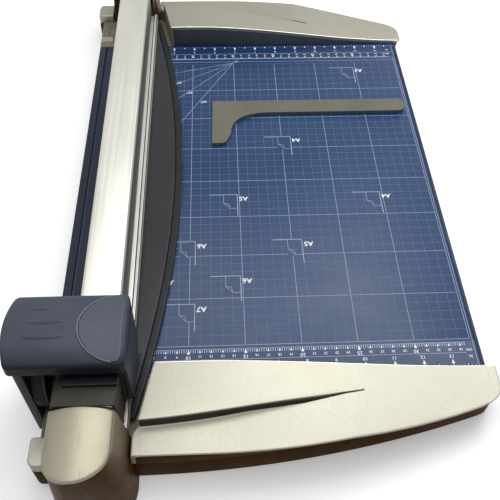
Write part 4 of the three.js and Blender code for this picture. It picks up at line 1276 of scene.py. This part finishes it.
def housing_rows(inset):
    """The housing's plan, drawn in by an inset: (y, left, right)."""
    half = head_half - inset
    rows = []
    for y in [-half, -half + 0.35] + spaced(1 - half, half - 1, 84) + [half - 0.35, half]:
        left = head_left + inset + head_sag * (y / head_half) ** 2
        pull = arc_fall(head_corner, max(abs(y) - (half - head_corner), 0))
        rows.append((y + head_y, left + pull * 0.8, head_right - inset - pull))
    return rows


def make_housing():
    """The housing, a shell with a rounded top, and the rounded wall at its right side."""
    columns = spaced(0, 0.52, 60) + spaced(0.53, 1, 24)
    places, faces, loop = skin(
        housing_rows(0), columns, lambda x, y: housing_top(y) + grip_height(x, y), 2.6, 6
    )
    inner_rows = housing_rows(head_wall)
    inner_loop = lined(places, faces, inner_rows, columns, lambda x, y: housing_top(y) - head_wall)

    def foot(upper, half):
        """A loop again at the housing's lower rim, half a millimetre wider at each end."""
        start = len(places)
        for k in upper:
            x, y, _ = places[k]
            places.append((x, head_y + (y - head_y) * (half + 0.5) / half, head_foot))
        return list(range(start, len(places)))

    rim = foot(loop, head_half)
    inner_rim = foot(inner_loop, head_half - head_wall)
    faces += bridged(loop, rim) + bridged(inner_rim, inner_loop) + bridged(rim, inner_rim)
    mesh = outward(mesh_of("housing", [at(*p) for p in places], faces))
    put("head_shell", mesh, "head", head_plastic, ("head_housing",), sharp=40)
    wall_plan = round_corners(rectangle(-28.5, 28.5, 18, 75), (6, 6, 1, 1))
    side = prism(wall_plan, head_right - 4, head_right, lambda a, b, c: at(c, head_y + a, b))
    put("head_side_wall", eased(side, 0.9), "head", side_plastic, sharp=0)


def round_corners(points, radii, steps=8):
    """An outline with its corners rounded."""
    found = []
    for i, (point, radius) in enumerate(zip(points, radii)):
        here = Vector(point)
        back = (Vector(points[i - 1]) - here).normalized()
        on = (Vector(points[(i + 1) % len(points)]) - here).normalized()
        half = math.acos(max(min(back.dot(on), 1), -1)) / 2
        centre = here + (back + on).normalized() * radius / math.sin(half)
        start = here + back * radius / math.tan(half) - centre
        end = here + on * radius / math.tan(half) - centre
        turn = math.atan2(start.x * end.y - start.y * end.x, start.dot(end))
        found += [tuple(centre + Matrix.Rotation(a, 2) @ start) for a in spaced(0, turn, steps)]
    return found


panel_right, panel_bulge, panel_half, panel_corner = 55.5, 33.5, 30, 8


def panel_left(y):
    return panel_right - panel_bulge * math.sqrt(max(1 - (y / panel_half) ** 2, 0))


def make_panel():
    """The D-shaped panel, with a raised bead along its curved side, pale as a painted highlight of the
    crease.
    """
    rows = []
    for turn in spaced(-right_angle, right_angle, 60):
        y = 29.0 * math.sin(turn)
        right = panel_right - arc_fall(panel_corner, max(abs(y) - (panel_half - panel_corner), 0)) * 0.8
        rows.append((y + head_y, panel_left(y) + 0.4, right))
    mesh = closed_plate(
        "panel", rows, spaced(0, 1, 20),
        lambda x, y: housing_top(y) + 0.75, lambda x, y: housing_top(y) + 0.3, 0.35, 3,
    )
    put("head_panel_plate", mesh, "head", panel_plastic, ("head_panel",), sharp=40)
    path = []
    for turn in spaced(-right_angle, right_angle, 48):
        y = 29.4 * math.sin(turn)
        path.append((panel_left(y) - 0.2, y + head_y, housing_top(y + head_y) + 0.55))
    put("head_panel_bead", bead(path, 0.62, bead_plastic), "head", None, sharp=60)
    inner = [(x + 1.1, y, z + 0.12) for x, y, z in path[2:-2]]
    put("head_panel_groove", bead(inner, 0.32, black_plastic), "head", None, sharp=60)


blade_height = 25.7
# Beads round the nose disc: name, x, radius, thickness, finish, slot. The pale rim bead is a painted
# highlight.
nose_beads = (
    ("rim", -8.6, 30.7, 0.5, bead_plastic, "head_plastic"),
    ("groove", -11.2, 30.8, 0.4, black_plastic, "dark_plastic"),
)
nose_foot = 3.9


def make_cartridge():
    """The blade cartridge with its axle and nut, and the two beads round its nose."""
    refined("cartridge", skirt_plastic, 1.2, 4, "head")
    refined("blade_axle", steel, 0.3, body="head")
    refined("blade_cap_nut", dark_plastic, 0.6, body="head")
    for name, x, radius, thickness, finish, slot in nose_beads:
        low = math.asin((nose_foot - blade_height) / radius)
        path = []
        for turn in spaced(low, math.pi - low, 72):
            path.append((x, head_y + radius * math.cos(turn), blade_height + radius * math.sin(turn)))
        put(f"cartridge_{name}", bead(path, thickness, finish), "head", None, sharp=60)


def make_blade():
    """A round blade, ground to an edge on both sides."""
    half, tip, bore, ground, edge = 0.25, 0.02, 4.2, 20.6, 22.5
    profile = [(bore, -half), (ground, -half), (edge, -tip), (edge, tip), (ground, half), (bore, half)]
    mesh = lathe(profile, lambda a, b, s: at(s, head_y + a, blade_height + b), 96)
    put("round_blade", mesh, "blade", blade_steel, ("blade",), sharp=25)


def make_carriage():
    """The carriage on the rail with its glides, end plates and press springs."""
    refined("carriage", dark_plastic, 0.6, 3, "carriage")
    for name in ("top", "left", "right", "lower_left", "lower_right"):
        refined(f"glide_{name}", nylon, 0.25, body="carriage")
    sides = (("near", -1), ("far", 1))
    plate_left, plate_right, plate_low, plate_high = 10.5, 51.8, 62.7, 65.1
    for side, sign in sides:
        plan = rectangle(plate_left, plate_right, head_y + sign * 24, head_y + sign * 38)
        plate = eased(prism(plan, plate_low, plate_high), 0.6)
        put(f"carriage_lip_{side}", plate, "carriage", black_plastic, sharp=0)
    low, high = (corner.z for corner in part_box("press_spring_near"))
    for side, sign in sides:
        place = at(rail_x, head_y + sign * 18, 0)
        place.z = low + wire * mm
        spring = coil(place, 6.0, high - low - 2 * wire * mm)
        put(f"press_coil_{side}", spring, "carriage", None, (f"press_spring_{side}",), sharp=40)


# Paper guide
guide_left, guide_right, guide_foot, guide_arm, guide_far = 121.8, 346.8, 49.5, 99.3, 119.8
heel_right, hollow_x, hollow_from, hollow_to = 137.3, 143.8, 66.0, 190.8


def make_guide():
    """The loose guide: a long arm, a foot and a hollow curve between them."""
    start, corner = Vector((hollow_x, hollow_from)), Vector((hollow_x, guide_arm))
    end = Vector((hollow_to, guide_arm))
    hollow = []
    for t in spaced(0, 1, 28):
        hollow.append(tuple((1 - t) ** 2 * start + 2 * t * (1 - t) * corner + t * t * end))
    # The corners next to the hollow only steer the rounding, so their places are cut off.
    heel = [(guide_left, guide_foot), (heel_right, guide_foot), hollow[0]]
    heel = round_corners(heel, (0.3, 6, 0.01))
    ends = [hollow[-1], (guide_right, guide_arm), (guide_right, guide_far), (guide_left, guide_far)]
    tip = round_corners(ends, (0.01, 9, 6, 0.3), 10)
    mesh = prism(heel[:-9] + hollow + tip[11:], 0.3, 4.3)
    body = eased(mesh, 0.5, 3, 25)
    put("guide_body", body, "guide", guide_plastic, ("paper_guide",), sharp=0)


# Floor and light
floor_half = 4
# Lamps: name, place, what they point at, size, power.
lamps = (
    ("key", (0.36, 0.33, 1.2), (0.36, -0.1, 0), (1.5, 0.66), 8.7),
    ("right", (0.66, 0.56, 1.1), (0.3, 0, 0), (0.5, 0.4), 3),
    ("window", (0.56, 1.0, 1.1), (0.1, 0, 0), (0.35, 0.35), 1.0),
    ("top", (-0.1, -0.25, 1.5), (0, -0.1, 0), (1.0, 1.0), 7),
    ("fill", (-1.0, 0.3, 1.1), (0, 0, 0), (1.0, 1.0), 1.6),
)
world_strength = 0.17


def make_floor():
    """A floor that is seen white and lights the trimmer only a little."""
    corners = [(x, y, 0) for x, y in rectangle(-floor_half, floor_half, -floor_half, floor_half)]
    floor = held("floor", mesh_of("floor", corners, [(0, 1, 2, 3)]))
    finish = Finish("floor_white", 0.9, Specular_IOR_Level=0.0, Emission_Color=(1, 1, 1, 1))
    seen = finish.seen_rays()
    finish.feed("Base Color", finish.mix(seen, colour(108, 108, 108), colour(243, 243, 243)))
    reach = finish.reckon("LENGTH", finish.places, kind="ShaderNodeVectorMath")
    glow = finish.spread(reach, 0.3, 1.0, 0.75, 1.8)
    finish.feed("Emission Strength", finish.reckon("MULTIPLY", glow, seen))
    floor.data.materials.append(finish.material)


def make_world():
    """A white world that is seen bright and lights the trimmer only a little."""
    world = bpy.data.worlds.new("studio")
    bpy.context.scene.world = world
    world.use_nodes = True
    nodes = Nodes(world.node_tree)
    light = nodes.tree.nodes["Background"]
    light.inputs["Color"].default_value = (1, 1, 1, 1)
    light.inputs["Strength"].default_value = world_strength
    shown = nodes.add("ShaderNodeBackground", Color=(1, 1, 1, 1))
    mix = nodes.add("ShaderNodeMixShader")
    for index, output in enumerate((nodes.seen_rays(), light.outputs[0], shown.outputs[0])):
        nodes.tree.links.new(output, mix.inputs[index])
    nodes.tree.links.new(mix.outputs[0], nodes.tree.nodes["World Output"].inputs["Surface"])


def make_lamp(name, place, aim, size, power):
    data = bpy.data.lights.new(name, "AREA")
    data.shape = "ELLIPSE"
    data.size, data.size_y = size
    data.energy = power
    light = held(name, data)
    light.location = place
    light.rotation_euler = (Vector(aim) - Vector(place)).to_track_quat("-Z", "Y").to_euler()


print_mat()
make_board()
make_end("near", -1)
make_end("far", 1)
refined("rail", aluminium, 0.9, 4)
make_guard()
make_housing()
make_panel()
make_cartridge()
make_blade()
make_carriage()
make_guide()
for node in ("steel_sheet", "guide_magnet_1", "guide_magnet_2"):
    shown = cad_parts[node]
    shown.data.materials.clear()
    shown.data.materials.append(steel)
make_floor()
make_world()
for values in lamps:
    make_lamp(*values)
bpy.context.scene.view_settings.view_transform = "Standard"
